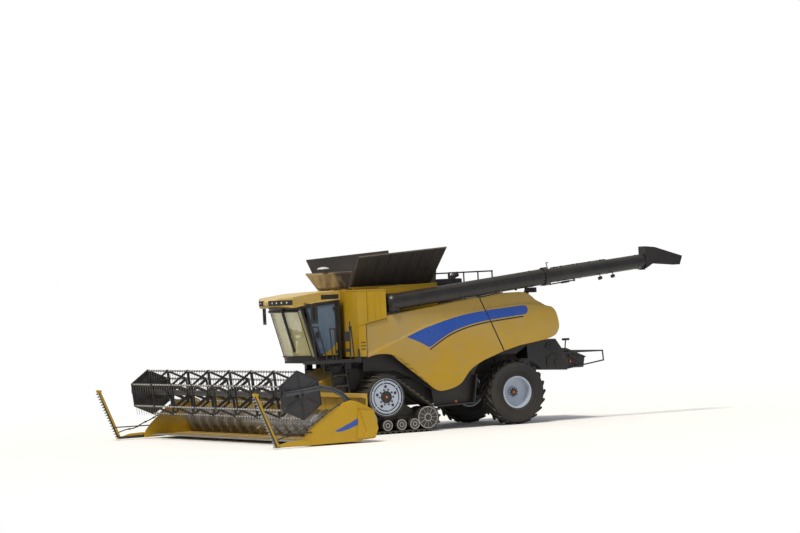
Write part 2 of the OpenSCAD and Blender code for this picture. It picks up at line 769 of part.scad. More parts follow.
module cab_seat() color([0.2, 0.2, 0.22]) vehicle() {
    block([1000, -240, 2330], [1450, 240, 2430]);
    block([900, -230, 2430], [1010, 230, 3000]);
    block([1050, -170, 2050], [1400, 170, 2330]);
    block([1000, -240, cab_floor], [1450, 240, 2050]);
    block([1050, -420, 2480], [1500, -300, 2560]);
    block([1100, -400, 2200], [1200, -169, 2300]);
    block([1100, -400, 2299], [1200, -300, 2481]);
}

module steering_column() color(dark) vehicle() {
    translate([1585, 0, cab_floor]) cylinder(h = 60, r = 70, $fn = round_n);
    rod([1585, 0, cab_floor + 40], [1580, 0, 2560], 45);
    translate([1575, 0, 2570]) rotate([0, -25, 0]) {
        rotate_extrude($fn = round_n) translate([200, 0]) circle(r = 16, $fn = small_n);
        translate([0, 0, -25]) cylinder(h = 40, r = 55, $fn = round_n);
        for (a = [0, 120, 240]) rotate([0, 0, a]) translate([40, -15, -8]) cube([155, 30, 14]);
    }
}

module platform() color(dark) vehicle() {
    block([605, cab_half + 15, 1790], [1830, 1700, deck_top]);
    block([605, -cab_half - 16, 1790], [1400, cab_half + 16, deck_top]);
    both() block([620, rail_y0 - 40, 1620], [780, rail_y1 + 40, 1791]);
}

// A leaning hoop: its two feet and the two ends of its top bar
rail_y = 1670;
deck_top = 1850;
foot_t = 10;
rail_foot = deck_top + foot_t - 2;
module foot_plate(x, y) block([x - 28, y - 28, deck_top], [x + 28, y + 28, deck_top + foot_t]);

module hoop(foot, top, z, r) {
    for (k = [0, 1]) {
        foot_plate(foot[k], rail_y);
        rod([foot[k], rail_y, rail_foot], [top[k], rail_y, z - r], r);
    }
    rod([top[0] - r - 4, rail_y, z - r], [top[1] + r + 4, rail_y, z - r], r + 2);
}

module handrails() color(dark) vehicle() {
    hoop([1505, 1785], [1722, 1888], 2700, 18);
    hoop([1264, 1349], [1272, 1407], 2640, 16);
    hoop([776, 881], [840, 872], 2660, 16);
    rod([866, rail_y, 2644], [864, rail_y, 2780], 14);
    foot_plate(635, 1640);
    rod([632, 1640, rail_foot], [636, 1640, 2100], 20);
    block([868, rail_y - 15, 2300], [1012, rail_y + 20, 2540]);
    block([872, rail_y - 15, 2045], [1008, rail_y + 20, 2130]);
}

mirror_turn = 10.7;

module mirrors() color(dark) vehicle() both() {
    rod([1700, cab_half + 1.2, 3250], [1700, 1420, 3225], 16);
    rod([1712, 1420, 3235], [1712, 1420, 2840], 14);
    translate([1680, 1420, 2765]) rotate([0, 0, mirror_turn]) translate([-8, -138, 0]) cube([15, 277, 410]);
    block([1684, 1402, 2880], [1716, 1438, 2930]);
}

module work_lamps() color([0.9, 0.9, 0.85]) vehicle() both() for (y = lamp_y)
    translate([lamp_x(y) + seat_gap, y, lamp_z]) rotate([0, 90, 0])
        cylinder(h = 50, r = lamp_r - seat_gap, $fn = small_n);

ladder_pivot = [1380, 1240, 0];

module ladder() color(dark) vehicle() {
    for (x = [905, 1280])
        translate([x, 0, 0]) rotate([90, 0, 90]) linear_extrude(30)
            polygon([[1290, 1780], [1370, 1780], [1720, 660], [1640, 660]]);
    for (k = [0:3]) {
        z = 700 + 260 * k;
        y = 1650 - (z - 700) * 0.3125;
        block([934, y - 90, z], [1281, y + 110, z + 30]);
    }
    block([1279, 1200, 1600], [1330, 1330, 1640]);
    block([1279, 1300, 1600], [1311, 1400, 1640]);
    translate([ladder_pivot[0], ladder_pivot[1], 1560]) cylinder(h = 230 - seat_gap, r = 28, $fn = small_n);
    block([1310, 1200, 1600], [ladder_pivot[0], 1260, 1640]);
}

// The door's outline or its window's: a foot, a drop under the roof, and how far it stands in from the ends
module door_form(foot, drop, inset, front_gap) polygon(concat(
    [[door_x + inset, foot], [pillar_x(foot) - front_gap, foot]],
    roof_run_back(door_x + inset, pillar_x(cab_top - 60) - front_gap, drop)
));

module door_window() door_form(door_z0 + 60, 85, 30, 105);

module cab_door() color(yellow) vehicle() {
    slab(cab_half - 45, cab_half - 5) difference() {
        door_form(door_z0, 50, 0, 50);
        door_window();
    }
    for (z = [2120, 2880]) {
        translate([door_hinge[0], door_hinge[1], z]) cylinder(h = 90, r = 10 - seat_gap, $fn = small_n);
        block([door_hinge[0], cab_half - 9, z + 5], [door_x + 2, cab_half - 5, z + 85]);
    }
}

module door_glass() color([0.5, 0.65, 0.8, 0.5]) vehicle()
    slab(cab_half - 29, cab_half - 29 + glass_t) door_window();

// Side panels

function seam(z, shift) = [-2780 - 600 * (3180 - z) / 1340 + shift, z];

module front_panel() slab(body_half - panel_t, body_half) polygon(concat(
    [[380, 2690], [380, 1880]],
    arc(0, drive_z, arch_r, 76, 132, 8),
    [[-1380, 1040], [-1570, 960], [-1880, 1000], [-2160, 1120], [-2400, 1400], [-2640, 1560], [-2980, 1710],
        seam(1845, 0), seam(3180, 0), [-2780, hinge_at(-2780) - 6], [-200, hinge_at(-200) - 6], [-200, 2799]]
));

module rear_panel() slab(body_half - panel_t, body_half) polygon([
    seam(3180, -panel_gap), seam(1850, -panel_gap), [-3850, 1960], [-4570, 2070], [-4920, 2180],
    [-4990, 2400], [-4920, 2730], [-4700, 2900], [-4440, 2950], [-4200, 3220], [-3890, 3280],
    [-3450, hinge_at(-3450) - 6], [-2780 - panel_gap, hinge_at(-2780 - panel_gap) - 6]
]);

module panel_hinge(x0, x1) rod([x0, hinge_y, hinge_at(x0)], [x1, hinge_y, hinge_at(x1)], hinge_r);

module front_panel_set() {
    front_panel();
    panel_hinge(-260, -2690);
}

module rear_panel_set() {
    rear_panel();
    panel_hinge(-2800, -3440);
}

module panel_front_left() color(yellow) vehicle() front_panel_set();
module panel_rear_left() color(yellow) vehicle() rear_panel_set();
module panel_front_right() color(yellow) vehicle() mirror([0, 1, 0]) front_panel_set();
module panel_rear_right() color(yellow) vehicle() mirror([0, 1, 0]) rear_panel_set();

// Folding tank covers

module cover() translate([0, rim_half, cover_hinge_z]) rotate([-cover_lean, 0, 0]) {
    slab(-cover_t, 0) polygon([[leaf_x, 0], [bin_x0, 0], [-1930, cover_rear_h], [446, cover_front_h]]);
    rod([bin_x0, 0, 0], [leaf_x, 0, 0], hinge_r);
}

module cover_left() color(dark) vehicle() cover();
module cover_right() color(dark) vehicle() mirror([0, 1, 0]) cover();

module screen(x, lean, half, top_half, height) translate([x, 0, screen_hinge_z]) rotate([0, lean, 0]) {
    translate([lean > 0 ? -screen_t : 0, 0, 0]) rotate([90, 0, 90]) linear_extrude(screen_t)
        polygon([[-half, 0], [half, 0], [top_half, height], [-top_half, height]]);
    shaft(0, 0, -half, half, hinge_r);
}

screen_half = rim_half - curb_t - 15;
screen_t = 25;
module screen_front() color([0.55, 0.42, 0.2]) vehicle()
    screen(screen_front_x, screen_lean[0], 860, 1300, screen_front_h);
module screen_rear() color(dark) vehicle()
    screen(screen_rear_x, screen_lean[1], screen_half, screen_half, screen_rear_h);

// Unloading auger

turret_z = 2950;

module auger_turret() color(dark) vehicle() {
    slab(bin_half + seat_gap, 1550) polygon([
        [-190, hinge_at(-190) + 10 + seat_gap], [swivel_x - 240, hinge_at(swivel_x - 240) + 10 + seat_gap],
        [swivel_x - 240, turret_z - 5], [-190, turret_z - 5]
    ]);
    translate([swivel_x, swivel_y, turret_z - 6]) cylinder(h = 21, r = 60, $fn = round_n);
    p = on_auger(-4300);
    difference() {
        block([p[0] - 40, 1180, 3000], [p[0] + 40, 1290, 3300]);
        hood_form();
    }
    block([p[0] - 30, 1200, 3250], [p[0] + 30, p[1] + 60, p[2] - tube_r - 25]);
}

// The fold hinge stands inboard of the flanges, and the spout's hinge lies under the tube's end.
fold_pin_r = 12;
fold_reach = 260;
spout_pin = [-10, -203];
spout_pin_r = 10;

module at_fold_hinge() translate(fold_p - [0, fold_reach, 0]) rotate([0, auger_rise, 0]) children();

module fold_lugs() at_fold_hinge() {
    translate([0, 0, -90]) cylinder(h = 180, r = fold_pin_r, $fn = small_n);
    for (z = [-90, 62]) {
        block([-14, -20, z], [58, 14, z + 28]);
        block([4, -20, z], [56, 60, z + 28]);
    }
}

module fold_barrel() at_fold_hinge() difference() {
    union() {
        translate([0, 0, -60]) cylinder(h = 120, r = 26, $fn = small_n);
        block([-56, -10, -58], [-18, 60, 58]);
    }
    translate([0, 0, -61]) cylinder(h = 122, r = fold_pin_r + pin_play, $fn = small_n);
}

module auger_inner() color(dark) vehicle() {
    fold_lugs();
    rod(on_auger(swivel_x), fold_p - auger_dir * 59, tube_r);
    translate(swivel) sphere(r = tube_r + 8, $fn = round_n);
    translate([swivel_x, swivel_y, turret_z + 15 + seat_gap])
        cylinder(h = auger_z - turret_z - 15 - seat_gap, r = tube_r - 20, $fn = round_n);
    rod(fold_p - auger_dir * 60, fold_p - auger_dir * seat_gap / 2, tube_r + 30);
}

module auger_outer() color(dark) vehicle() {
    fold_barrel();
    translate(spout_p) {
        shaft(spout_pin[0], spout_pin[1], -125, 125, spout_pin_r);
        both() block([spout_pin[0] - 6, 100, spout_pin[1] - 12], [50, 125, -125]);
    }
    rod(fold_p + auger_dir * seat_gap / 2, fold_p + auger_dir * 60, tube_r + 30);
    rod(fold_p + auger_dir * 59, on_outer(spout_x), outer_r);
}

spout_gap = outer_r * sin(outer_rise) + 0.5;

module auger_spout() color(dark) vehicle() {
    translate(spout_p) difference() {
        union() {
            slab(-170, 170) polygon([
                [-spout_gap, -190], [-spout_gap, 370], [-300, 340], [-spout_len, 90], [-spout_len + 80, -130],
                [-250, -60]
            ]);
            shaft(spout_pin[0], spout_pin[1], -98, 98, 22);
        }
        shaft(spout_pin[0], spout_pin[1], -99, 99, spout_pin_r + pin_play);
        slab(-150, 150) polygon([
            [-240, -90], [-45, -100], [-45, 345], [-295, 318], [-spout_len + 25, 75], [-spout_len + 100, -160]
        ]);
    }
}

// Feeder house and header

feeder_rear = 620;
function feeder_under(x) = 1120 - (x - feeder_rear) * (1120 - 360) / (feeder_front - feeder_rear);

module feeder_house() color(yellow) vehicle() {
    slab(-feeder_half, feeder_half) polygon([
        [feeder_rear, 1640], [feeder_front, 1010], [feeder_front, feeder_under(feeder_front)],
        [feeder_rear, feeder_under(feeder_rear)]
    ]);
    both() {
        shaft(feeder_pivot[0], feeder_pivot[2], feeder_half - 1, rail_y0 - 20, pin_r - pin_play);
        difference() {
            slab(lift_y - clevis_half, lift_y + clevis_half) polygon([
                [1440, feeder_under(1440) + 5], [lift_eye[0] - 70, lift_eye[2] - 60],
                [lift_eye[0] + 70, lift_eye[2] - 60], [1800, feeder_under(1800) + 5]
            ]);
            slab(lift_y - clevis_slot, lift_y + clevis_slot) polygon([
                [1400, feeder_under(1400) - 10], [1400, 200], [1860, 200], [1860, feeder_under(1860) - 10]
            ]);
        }
    }
}

module header_frame() color([0.72, 0.55, 0.2]) vehicle() {
    difference() {
        slab(-end_y0, end_y0) polygon([
            [1950, 1130], [1950, 90], [3350, 85], [3350, 103], [2600, 108], [2180, 108], [2010, 200],
            [1985, 300], [1985, 1010], [2080, 1040], [2080, 1130]
        ]);
        block([1900, -700, 380], [1990, 700, 990]);
    }
    difference() {
        block([feeder_front, -760, 330], [1951, 760, 1050]);
        block([feeder_front - 1, -700, 380], [1952, 700, 990]);
    }
    both() for (y = [1000, 2200, 3000, 3800])
        slab(y, y + 60) polygon([[1951, 1100], [1925, 1075], [1925, 150], [1951, 100]]);
}

module header_ends() color(yellow) vehicle() both() {
    slab(end_y0, end_y0 + end_t) polygon([
        [3700, 30], [3660, 190], [3490, 385], [3220, 605], [2960, 790], [2700, 915], [2440, 985], [2240, 960],
        [1840, 760], [1750, 320], [1840, 90]
    ]);
    slab(end_y0 + end_t - 1, end_y0 + end_t + 60)
        polygon([[2240, 780], [1855, 745], [1760, 320], [1840, 110], [2300, 100]]);
    shaft(arm_pivot[0], arm_pivot[2] - 60, arm_y0 - 10, end_y0 + 1, 30 - pin_play);
}

knife_y0 = end_y0 + end_t + 60;
toe_z = 32;
stay_r = 15;

module side_knives() color(dark) vehicle() both() {
    slab(knife_y0, knife_y0 + 30) {
        polygon([[4300, toe_z], [4400, toe_z], [knife_x, knife_z], [knife_x - 80, knife_z]]);
        for (k = [1:14]) {
            t = k / 15;
            translate([4400 + (knife_x - 4400) * t, toe_z + (knife_z - toe_z) * t])
                rotate(-22) polygon([[-30, -32], [-4, 0], [-30, 32]]);
        }
    }
    slab(end_y0 + end_t, knife_y0 + 1) polygon([[3560, toe_z], [4399, toe_z], [4420, 90], [3560, 110]]);
    rod([3450, end_y0 + end_t + stay_r + 0.3, 330], [4500, knife_y0 + 10, 330], stay_r);
}

module cutter_bar() color(steel) vehicle() {
    n = floor((cut_half - 30) * 2 / finger_pitch);
    x0 = 3350 + seat_gap;
    start = -n * finger_pitch / 2;
    translate([0, 0, cutter_z - 15]) linear_extrude(24) polygon(concat(
        [[x0, start], [x0 + 40, start]],
        [for (k = [0:n - 1]) each [
            [x0 + 40, start + finger_pitch * (k + 0.2)],
            [cutter_x, start + finger_pitch * (k + 0.5)],
            [x0 + 40, start + finger_pitch * (k + 0.8)]
        ]],
        [[x0 + 40, -start], [x0, -start]]
    ));
}

flight_t = 12;
finger_half = 650;

flight_steps = 12;

// A helical flight: one four-cornered section, carried round and along the tube
module flight(turns) {
    n = round(turns * flight_steps);
    corners = [[intake_r - 10, -flight_t], [flight_r, -flight_t], [flight_r, flight_t], [intake_r - 10, flight_t]];
    points = [for (i = [0:n], c = corners)
        let (a = 360 * i / flight_steps)
        [c[0] * cos(a), c[0] * sin(a), c[1] + flight_pitch * i / flight_steps]];
    sides = [for (i = [0:n - 1], j = [0:3]) each
        let (a = 4 * i + j, b = 4 * i + (j + 1) % 4)
        [[a, b, b + 4], [a, b + 4, a + 4]]];
    polyhedron(points = points, faces = concat([[3, 2, 1, 0]], sides, [[4 * n, 4 * n + 1, 4 * n + 2, 4 * n + 3]]),
        convexity = 10);
}

module intake_auger() color(steel) vehicle() {
    shaft(intake_x, intake_z, -cut_half + 30, cut_half - 30, intake_r);
    shaft(intake_x, intake_z, -end_y0 + seat_gap, end_y0 - seat_gap, 40);
    turns = (cut_half - 60 - finger_half) / flight_pitch;
    both() translate([intake_x, cut_half - 50, intake_z]) rotate([90, 0, 0]) flight(turns);
    for (k = [0:11])
        translate([intake_x, -600 + 109 * k, intake_z]) rotate([0, 97 * k, 0])
            translate([0, 0, intake_r - 15]) cylinder(h = flight_r - intake_r + 5, r = 9, $fn = small_n);
}

// Reel

arm_pin = arm_pivot - [0, 0, 60];

module reel_arms() color(yellow) vehicle() {
    both() difference() {
        slab(arm_y0, arm_y0 + arm_t) union() {
            polygon([
                [2330, 860], [2440, 860], [2563, 1085], [2800, 1215], [3081, 1277], [reel_x, 1217], [4030, 1175],
                [4030, 1275], [reel_x, 1321], [3075, 1387], [2797, 1330], [2556, 1214], [2330, 1005]
            ]);
            polygon([
                [reel_x - 90, 1240], [reel_x - 60, reel_z - 60], [reel_x + 60, reel_z - 60], [reel_x + 90, 1225]
            ]);
        }
        shaft(arm_pin[0], arm_pin[2], arm_y0 - 1, arm_y0 + arm_t + 1, 30);
        shaft(reel_x, reel_z, arm_y0 - 1, arm_y0 + arm_t + 1, 32);
    }
}

shield_t = 20;
spider_n = 8;

module hexagon(r) circle(r = r, $fn = bat_n);

module bat(angle) {
    p = [reel_x + reel_r * cos(angle), reel_z + reel_r * sin(angle)];
    shaft(p[0], p[1], -reel_half + 1, reel_half - 1, 22);
    tines = floor((reel_half - 100) * 2 / tine_pitch);
    start = -tines * tine_pitch / 2;
    translate([p[0] - 4, 0, p[1]]) rotate([90, 0, 90]) linear_extrude(8) polygon(concat(
        [[start, 6], [start, -30]],
        [for (k = [0:tines - 1]) each [
            [start + tine_pitch * (k + 0.5) - 7, -30],
            [start + tine_pitch * (k + 0.5) - 4, -tine_len],
            [start + tine_pitch * (k + 0.5) + 4, -tine_len],
            [start + tine_pitch * (k + 0.5) + 7, -30]
        ]],
        [[-start, -30], [-start, 6]]
    ));
}

module reel() color([0.8, 0.8, 0.8]) vehicle() {
    shaft(reel_x, reel_z, -reel_half, reel_half, 70);
    shaft(reel_x, reel_z, -arm_y0 - arm_t + 5, arm_y0 + arm_t - 5, 32 - pin_play);
    for (k = [0:bat_n - 1]) bat(reel_phase + 360 * k / bat_n);
    for (k = [0:spider_n - 1]) {
        y = -reel_half + (reel_half * 2 - shield_t) * k / (spider_n - 1);
        outer = k == 0 || k == spider_n - 1;
        translate([reel_x, y + shield_t, reel_z]) rotate([90, -reel_phase, 0]) linear_extrude(shield_t) difference() {
            hexagon(reel_r + 25);
            if (!outer) for (a = [0:bat_n - 1]) rotate(360 * (a + 0.5) / bat_n)
                polygon([[130, -35], [reel_r * 0.82 - 20, -reel_r * 0.40], [reel_r * 0.82 - 20, reel_r * 0.40], [130, 35]]);
        }
    }
}

// Lift cylinders under the feeder house

lift_vec = lift_eye - lift_base;
lift_dir = lift_vec / norm(lift_vec);

barrel_len = 860;
rod_r = 32;

module lift_barrels() color(dark) vehicle() both() difference() {
    union() {
        rod(lift_base + lift_dir * 110, lift_base + lift_dir * barrel_len, 55);
        rod(lift_base, lift_base + lift_dir * 111, 30);
        shaft(lift_base[0], lift_base[2], lift_y - clevis_slot + 5, lift_y + clevis_slot - 5, 45);
    }
    rod(lift_base + lift_dir * 350, lift_base + lift_dir * (barrel_len + 1), rod_r + 1);
    shaft(lift_base[0], lift_base[2], lift_y - clevis_slot, lift_y + clevis_slot, lift_pin_r + pin_play);
}

module lift_rods() color(steel) vehicle() both() {
    rod(lift_base + lift_dir * 400, lift_eye, rod_r);
    shaft(lift_eye[0], lift_eye[2], lift_y - clevis_slot + 5, lift_y + clevis_slot - 5, 42);
}

chassis_frame();
threshing_body();
front_body();
tank_bin();
engine();
engine_deck();
tail_hood();
skirt_plates();
front_axle();
drive_wheels();
track_belts();
track_frames();
track_rollers();
rear_axle();
chopper();
hitch();
cab_shell();
cab_roof();
cab_glass();
cab_seat();
steering_column();
platform();
handrails();
mirrors();
work_lamps();
auger_turret();
ladder();
cab_door();
door_glass();
panel_front_left();
panel_rear_left();
panel_front_right();
panel_rear_right();
cover_left();
cover_right();
screen_front();
screen_rear();
auger_inner();
auger_outer();
auger_spout();
knuckle_left();
knuckle_right();
tyre_left();
rim_left();
tyre_right();
rim_right();
feeder_house();
header_frame();
header_ends();
side_knives();
cutter_bar();
intake_auger();
reel_arms();
reel();
lift_barrels();
lift_rods();
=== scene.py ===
# A combine harvester on front tracks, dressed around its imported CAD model.
# +X is forward, +Y is the machine's left, +Z is up, in metres, and the ground is z = 0.

import math

import bmesh
import bpy
from mathutils import Matrix, Vector


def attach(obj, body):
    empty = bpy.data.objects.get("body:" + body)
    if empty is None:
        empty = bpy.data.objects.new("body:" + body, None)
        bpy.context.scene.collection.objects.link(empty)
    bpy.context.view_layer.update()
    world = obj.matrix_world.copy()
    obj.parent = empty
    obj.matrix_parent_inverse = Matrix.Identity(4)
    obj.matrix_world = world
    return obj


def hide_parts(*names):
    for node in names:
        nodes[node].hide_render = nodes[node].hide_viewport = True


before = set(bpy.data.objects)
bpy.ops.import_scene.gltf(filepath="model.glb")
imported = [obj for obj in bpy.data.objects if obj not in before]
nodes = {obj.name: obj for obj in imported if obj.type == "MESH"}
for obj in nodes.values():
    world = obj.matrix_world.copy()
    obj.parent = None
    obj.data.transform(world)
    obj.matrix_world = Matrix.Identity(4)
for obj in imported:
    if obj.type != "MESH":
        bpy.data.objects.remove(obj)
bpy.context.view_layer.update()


# The view: a long lens far out on the machine's left front, level with the tank, and turned a
# little because the machine drives on a slope.

FRONT_AXLE = 1.83
AIM = (-0.661, 1.5, 4.044)
SWING, RISE, ROLL = math.radians(152.732), math.radians(-0.208), math.radians(-2.759)
DISTANCE, FOCAL_LENGTH, SENSOR_WIDTH = 79.36, 146.6, 36


def place(x, y, z):
    """A point given from the front drive axle, as every measure of the machine is."""
    return Vector((x + FRONT_AXLE, y, z))


away = Vector((math.sin(SWING) * math.cos(RISE), -math.cos(SWING) * math.cos(RISE), math.sin(RISE)))
level = Vector((0, 0, 1)).cross(away).normalized()
upright = away.cross(level)
view_right = level * math.cos(ROLL) + upright * math.sin(ROLL)
view_up = upright * math.cos(ROLL) - level * math.sin(ROLL)
lens = bpy.data.cameras.new("field_camera")
lens.lens = FOCAL_LENGTH
lens.sensor_width = SENSOR_WIDTH
lens.clip_end = 400
camera = bpy.data.objects.new("field_camera", lens)
stand = Matrix((view_right, view_up, away)).transposed().to_4x4()
stand.translation = place(*AIM) + away * DISTANCE
camera.matrix_world = stand
bpy.context.scene.collection.objects.link(camera)
bpy.context.scene.camera = camera
bpy.context.scene.view_settings.view_transform = "Standard"


# The machine's paint: a two-pack enamel sprayed on pressed sheet, under the tan dust that a day
# of threshing leaves on every top, ledge and hollow.

class Wire:
    """A shader socket that takes part in Python arithmetic."""

    def __init__(self, coat, socket):
        self.coat = coat
        self.socket = socket

    def reckon(self, operation, first, second):
        return self.coat.node("Math", {"operation": operation}, {0: first, 1: second})

    def __add__(self, other):
        return self.reckon("ADD", self, other)

    def __sub__(self, other):
        return self.reckon("SUBTRACT", self, other)

    def __rsub__(self, other):
        return self.reckon("SUBTRACT", other, self)

    def __mul__(self, other):
        return self.reckon("MULTIPLY", self, other)

    def __gt__(self, other):
        return self.reckon("GREATER_THAN", self, other)

    def __lt__(self, other):
        return self.reckon("LESS_THAN", self, other)

    __radd__ = __add__
    __rmul__ = __mul__

    def held(self):
        """The value kept between 0 and 1."""
        return self.coat.node("Clamp", {}, {0: self})

    def rise(self, low, high):
        """0 below low, 1 above high, and smooth between."""
        settings = {"interpolation_type": "SMOOTHSTEP"}
        return self.coat.node("MapRange", settings, {0: self, 1: low, 2: high})


class Finish:
    """A material of one Principled shader and the nodes that feed it."""

    def __init__(self, name):
        self.material = bpy.data.materials.new(name)
        self.material.use_nodes = True
        self.tree = self.material.node_tree
        self.shader = self.tree.nodes["Principled BSDF"]
        self.spot = self.node("TexCoord", {}, {}, "Object")
        self.facing = self.node("TexCoord", {}, {}, "Normal")

    def node(self, kind, settings, sockets, output=0):
        made = self.tree.nodes.new("ShaderNode" + kind)
        for key, value in settings.items():
            setattr(made, key, value)
        for key, value in sockets.items():
            self.feed(made.inputs[key], value)
        return Wire(self, made.outputs[output])

    def feed(self, socket, value):
        if isinstance(value, Wire):
            self.tree.links.new(value.socket, socket)
        elif isinstance(value, tuple) and len(value) == 3 and socket.type == "RGBA":
            socket.default_value = (*value, 1)
        else:
            socket.default_value = value

    def axis(self, letter, source=None):
        return self.node("SeparateXYZ", {}, {0: source or self.spot}, letter)

    def noise(self, scale, detail=4, stretch=(1, 1, 1)):
        where = self.node("Mapping", {}, {0: self.spot, "Scale": stretch})
        sockets = {"Vector": where, "Scale": scale, "Detail": detail, "Roughness": 0.6}
        return self.node("TexNoise", {}, sockets)

    def mix(self, first, second, share):
        return self.node("Mix", {"data_type": "RGBA"}, {0: share, 6: first, 7: second}, 2)

    def bump(self, height, depth):
        rough = self.node("Bump", {}, {"Strength": 1.0, "Distance": depth, "Height": height})
        self.feed(self.shader.inputs["Normal"], rough)

    def set(self, **sockets):
        for key, value in sockets.items():
            self.feed(self.shader.inputs[key.replace("_", " ")], value)
        return self


STRAW_DUST = (0.36, 0.28, 0.15)


def dusted(name, colour, dust=0.5, roughness=0.4, metallic=0.0, grain=40, depth=0.0004,
           dust_colour=STRAW_DUST, low=None):
    """A coat whose tops, low parts and hollows carry dust in clouds, with thin runs down the sides.

    An attribute named by low says where dust lies, in place of the height over the ground."""
    coat = Finish(name)
    top = coat.axis("Z", coat.facing).rise(0.35, 0.95)
    if low is None:
        low = 1 - coat.axis("Z").rise(0.3, 1.9)
    else:
        low = coat.node("Attribute", {"attribute_name": low}, {}, "Fac") * 2.2
    clouds = coat.noise(1.6, 7).rise(0.38, 0.68)
    runs = coat.noise(5.0, 4, (1, 1, 0.12)).rise(0.45, 0.75)
    fine = coat.noise(grain, 5).rise(0.3, 0.75)
    cover = (top * 0.85 + low * 0.45 + clouds * 0.45 + runs * 0.25) * (fine * 0.5 + 0.6) * dust
    share = cover.held()
    worn = coat.mix(colour, tuple(c * 0.72 for c in colour), coat.noise(2.3, 6) * 0.8)
    coat.set(Base_Color=coat.mix(worn, dust_colour, share), Metallic=(1 - share) * metallic)
    coat.set(Roughness=(share * (0.92 - roughness) + roughness + (fine - 0.5) * 0.08).held())
    coat.bump(fine + share * 0.6, depth)
    return coat


def paint_node(coat, *names):
    """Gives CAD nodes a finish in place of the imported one."""
    for name in names:
        nodes[name].data.materials.clear()
        nodes[name].data.materials.append(coat.material)


YELLOW = (0.51, 0.305, 0.008)
yellow = dusted("yellow_enamel", YELLOW, 0.12, 0.38)
dusty_yellow = dusted("dusty_yellow_enamel", YELLOW, 0.46, 0.48)
roof_yellow = dusted("roof_moulding", (0.56, 0.36, 0.05), 0.80, 0.5, dust_colour=(0.60, 0.49, 0.29))
ENAMEL_SHEEN = 0.28
for coat in (yellow, dusty_yellow):
    coat.set(Specular_IOR_Level=ENAMEL_SHEEN)
black = dusted("black_enamel", (0.016, 0.016, 0.019), 0.10, 0.40)
frame_grey = dusted("frame_enamel", (0.020, 0.019, 0.020), 0.14, 0.6)
plastic = dusted("moulded_black", (0.012, 0.012, 0.013), 0.08, 0.5, grain=160)


# The floor and the light: a pale ground that fades into the white around it, one broad soft sun
# and a white sky.

FLOOR_RADIUS, FADE_FROM, FADE_TO = 30, 9.5, 24
SUN_FROM, SUN_ENERGY, SUN_WIDTH = (0.42, 0.26, 0.90), 2.8, math.radians(14)
SKY_STRENGTH = 0.52

ground = bmesh.new()
bmesh.ops.create_circle(ground, cap_ends=True, segments=96, radius=FLOOR_RADIUS)
ground_mesh = bpy.data.meshes.new("ground")
ground.to_mesh(ground_mesh)
ground.free()
floor = bpy.data.objects.new("ground", ground_mesh)
bpy.context.scene.collection.objects.link(floor)
pale = Finish("pale_ground")
pale.set(Base_Color=(0.86, 0.85, 0.83), Roughness=1.0)
reach = pale.node("VectorMath", {"operation": "LENGTH"}, {0: pale.spot}, "Value")
clear = pale.node("BsdfTransparent", {}, {})
lit = Wire(pale, pale.shader.outputs[0])
faded = pale.node("MixShader", {}, {0: reach.rise(FADE_FROM, FADE_TO), 1: lit, 2: clear})
pale.tree.links.new(faded.socket, pale.tree.nodes["Material Output"].inputs["Surface"])
floor.data.materials.append(pale.material)

sun_lamp = bpy.data.lights.new("soft_sun", "SUN")
sun_lamp.energy = SUN_ENERGY
sun_lamp.angle = SUN_WIDTH
sun_lamp.color = (1.0, 0.95, 0.86)
sun = bpy.data.objects.new("soft_sun", sun_lamp)
sun.rotation_euler = Vector(SUN_FROM).to_track_quat("Z", "Y").to_euler()
bpy.context.scene.collection.objects.link(sun)

sky = bpy.data.worlds.new("white_sky")
bpy.context.scene.world = sky
sky.use_nodes = True
sky_nodes = sky.node_tree.nodes
shown = sky_nodes["Background"]
shown.inputs["Color"].default_value = (1, 1, 1, 1)
shown.inputs["Strength"].default_value = 1.0
soft = sky_nodes.new("ShaderNodeBackground")
soft.inputs["Color"].default_value = (0.93, 0.95, 1.0, 1)
soft.inputs["Strength"].default_value = SKY_STRENGTH
ray = sky_nodes.new("ShaderNodeLightPath")
either = sky_nodes.new("ShaderNodeMath")
either.operation = "MAXIMUM"
blend = sky_nodes.new("ShaderNodeMixShader")
link = sky.node_tree.links.new
link(ray.outputs["Is Camera Ray"], either.inputs[0])
link(ray.outputs["Is Transmission Ray"], either.inputs[1])
link(either.outputs[0], blend.inputs[0])
link(soft.outputs[0], blend.inputs[1])
link(shown.outputs[0], blend.inputs[2])
link(blend.outputs[0], sky_nodes["World Output"].inputs["Surface"])


# The side panels: two pressed sheets on each side, hinged along their tops, crowned, with a step
# pressed in above a curved crease and a rolled edge all round.

SIDES = (("left", 1), ("right", -1))


def piece(name, shape, body, coat, bevel=0.0, crease=35, hand=1):
    """Makes an object of a finished bmesh, smooth between its sharp edges, riding on a body.

    A hand of -1 mirrors the shape to the machine's right first."""
    if hand < 0:
        bmesh.ops.scale(shape, vec=(1, -1, 1), verts=shape.verts)
    bmesh.ops.recalc_face_normals(shape, faces=shape.faces)
    for face in shape.faces:
        face.smooth = True
    for edge in shape.edges:
        edge.smooth = edge.calc_face_angle(0) < math.radians(crease)
    mesh = bpy.data.meshes.new(name)
    shape.to_mesh(mesh)
    shape.free()
    made = bpy.data.objects.new(name, mesh)
    bpy.context.scene.collection.objects.link(made)
    mesh.materials.append(coat.material)
    if bevel:
        edge = made.modifiers.new("edge", "BEVEL")
        edge.width = bevel
        edge.segments = 2
        edge.limit_method = "ANGLE"
        edge.angle_limit = math.radians(crease)
        edge.harden_normals = True
    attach(made, body)
    return made


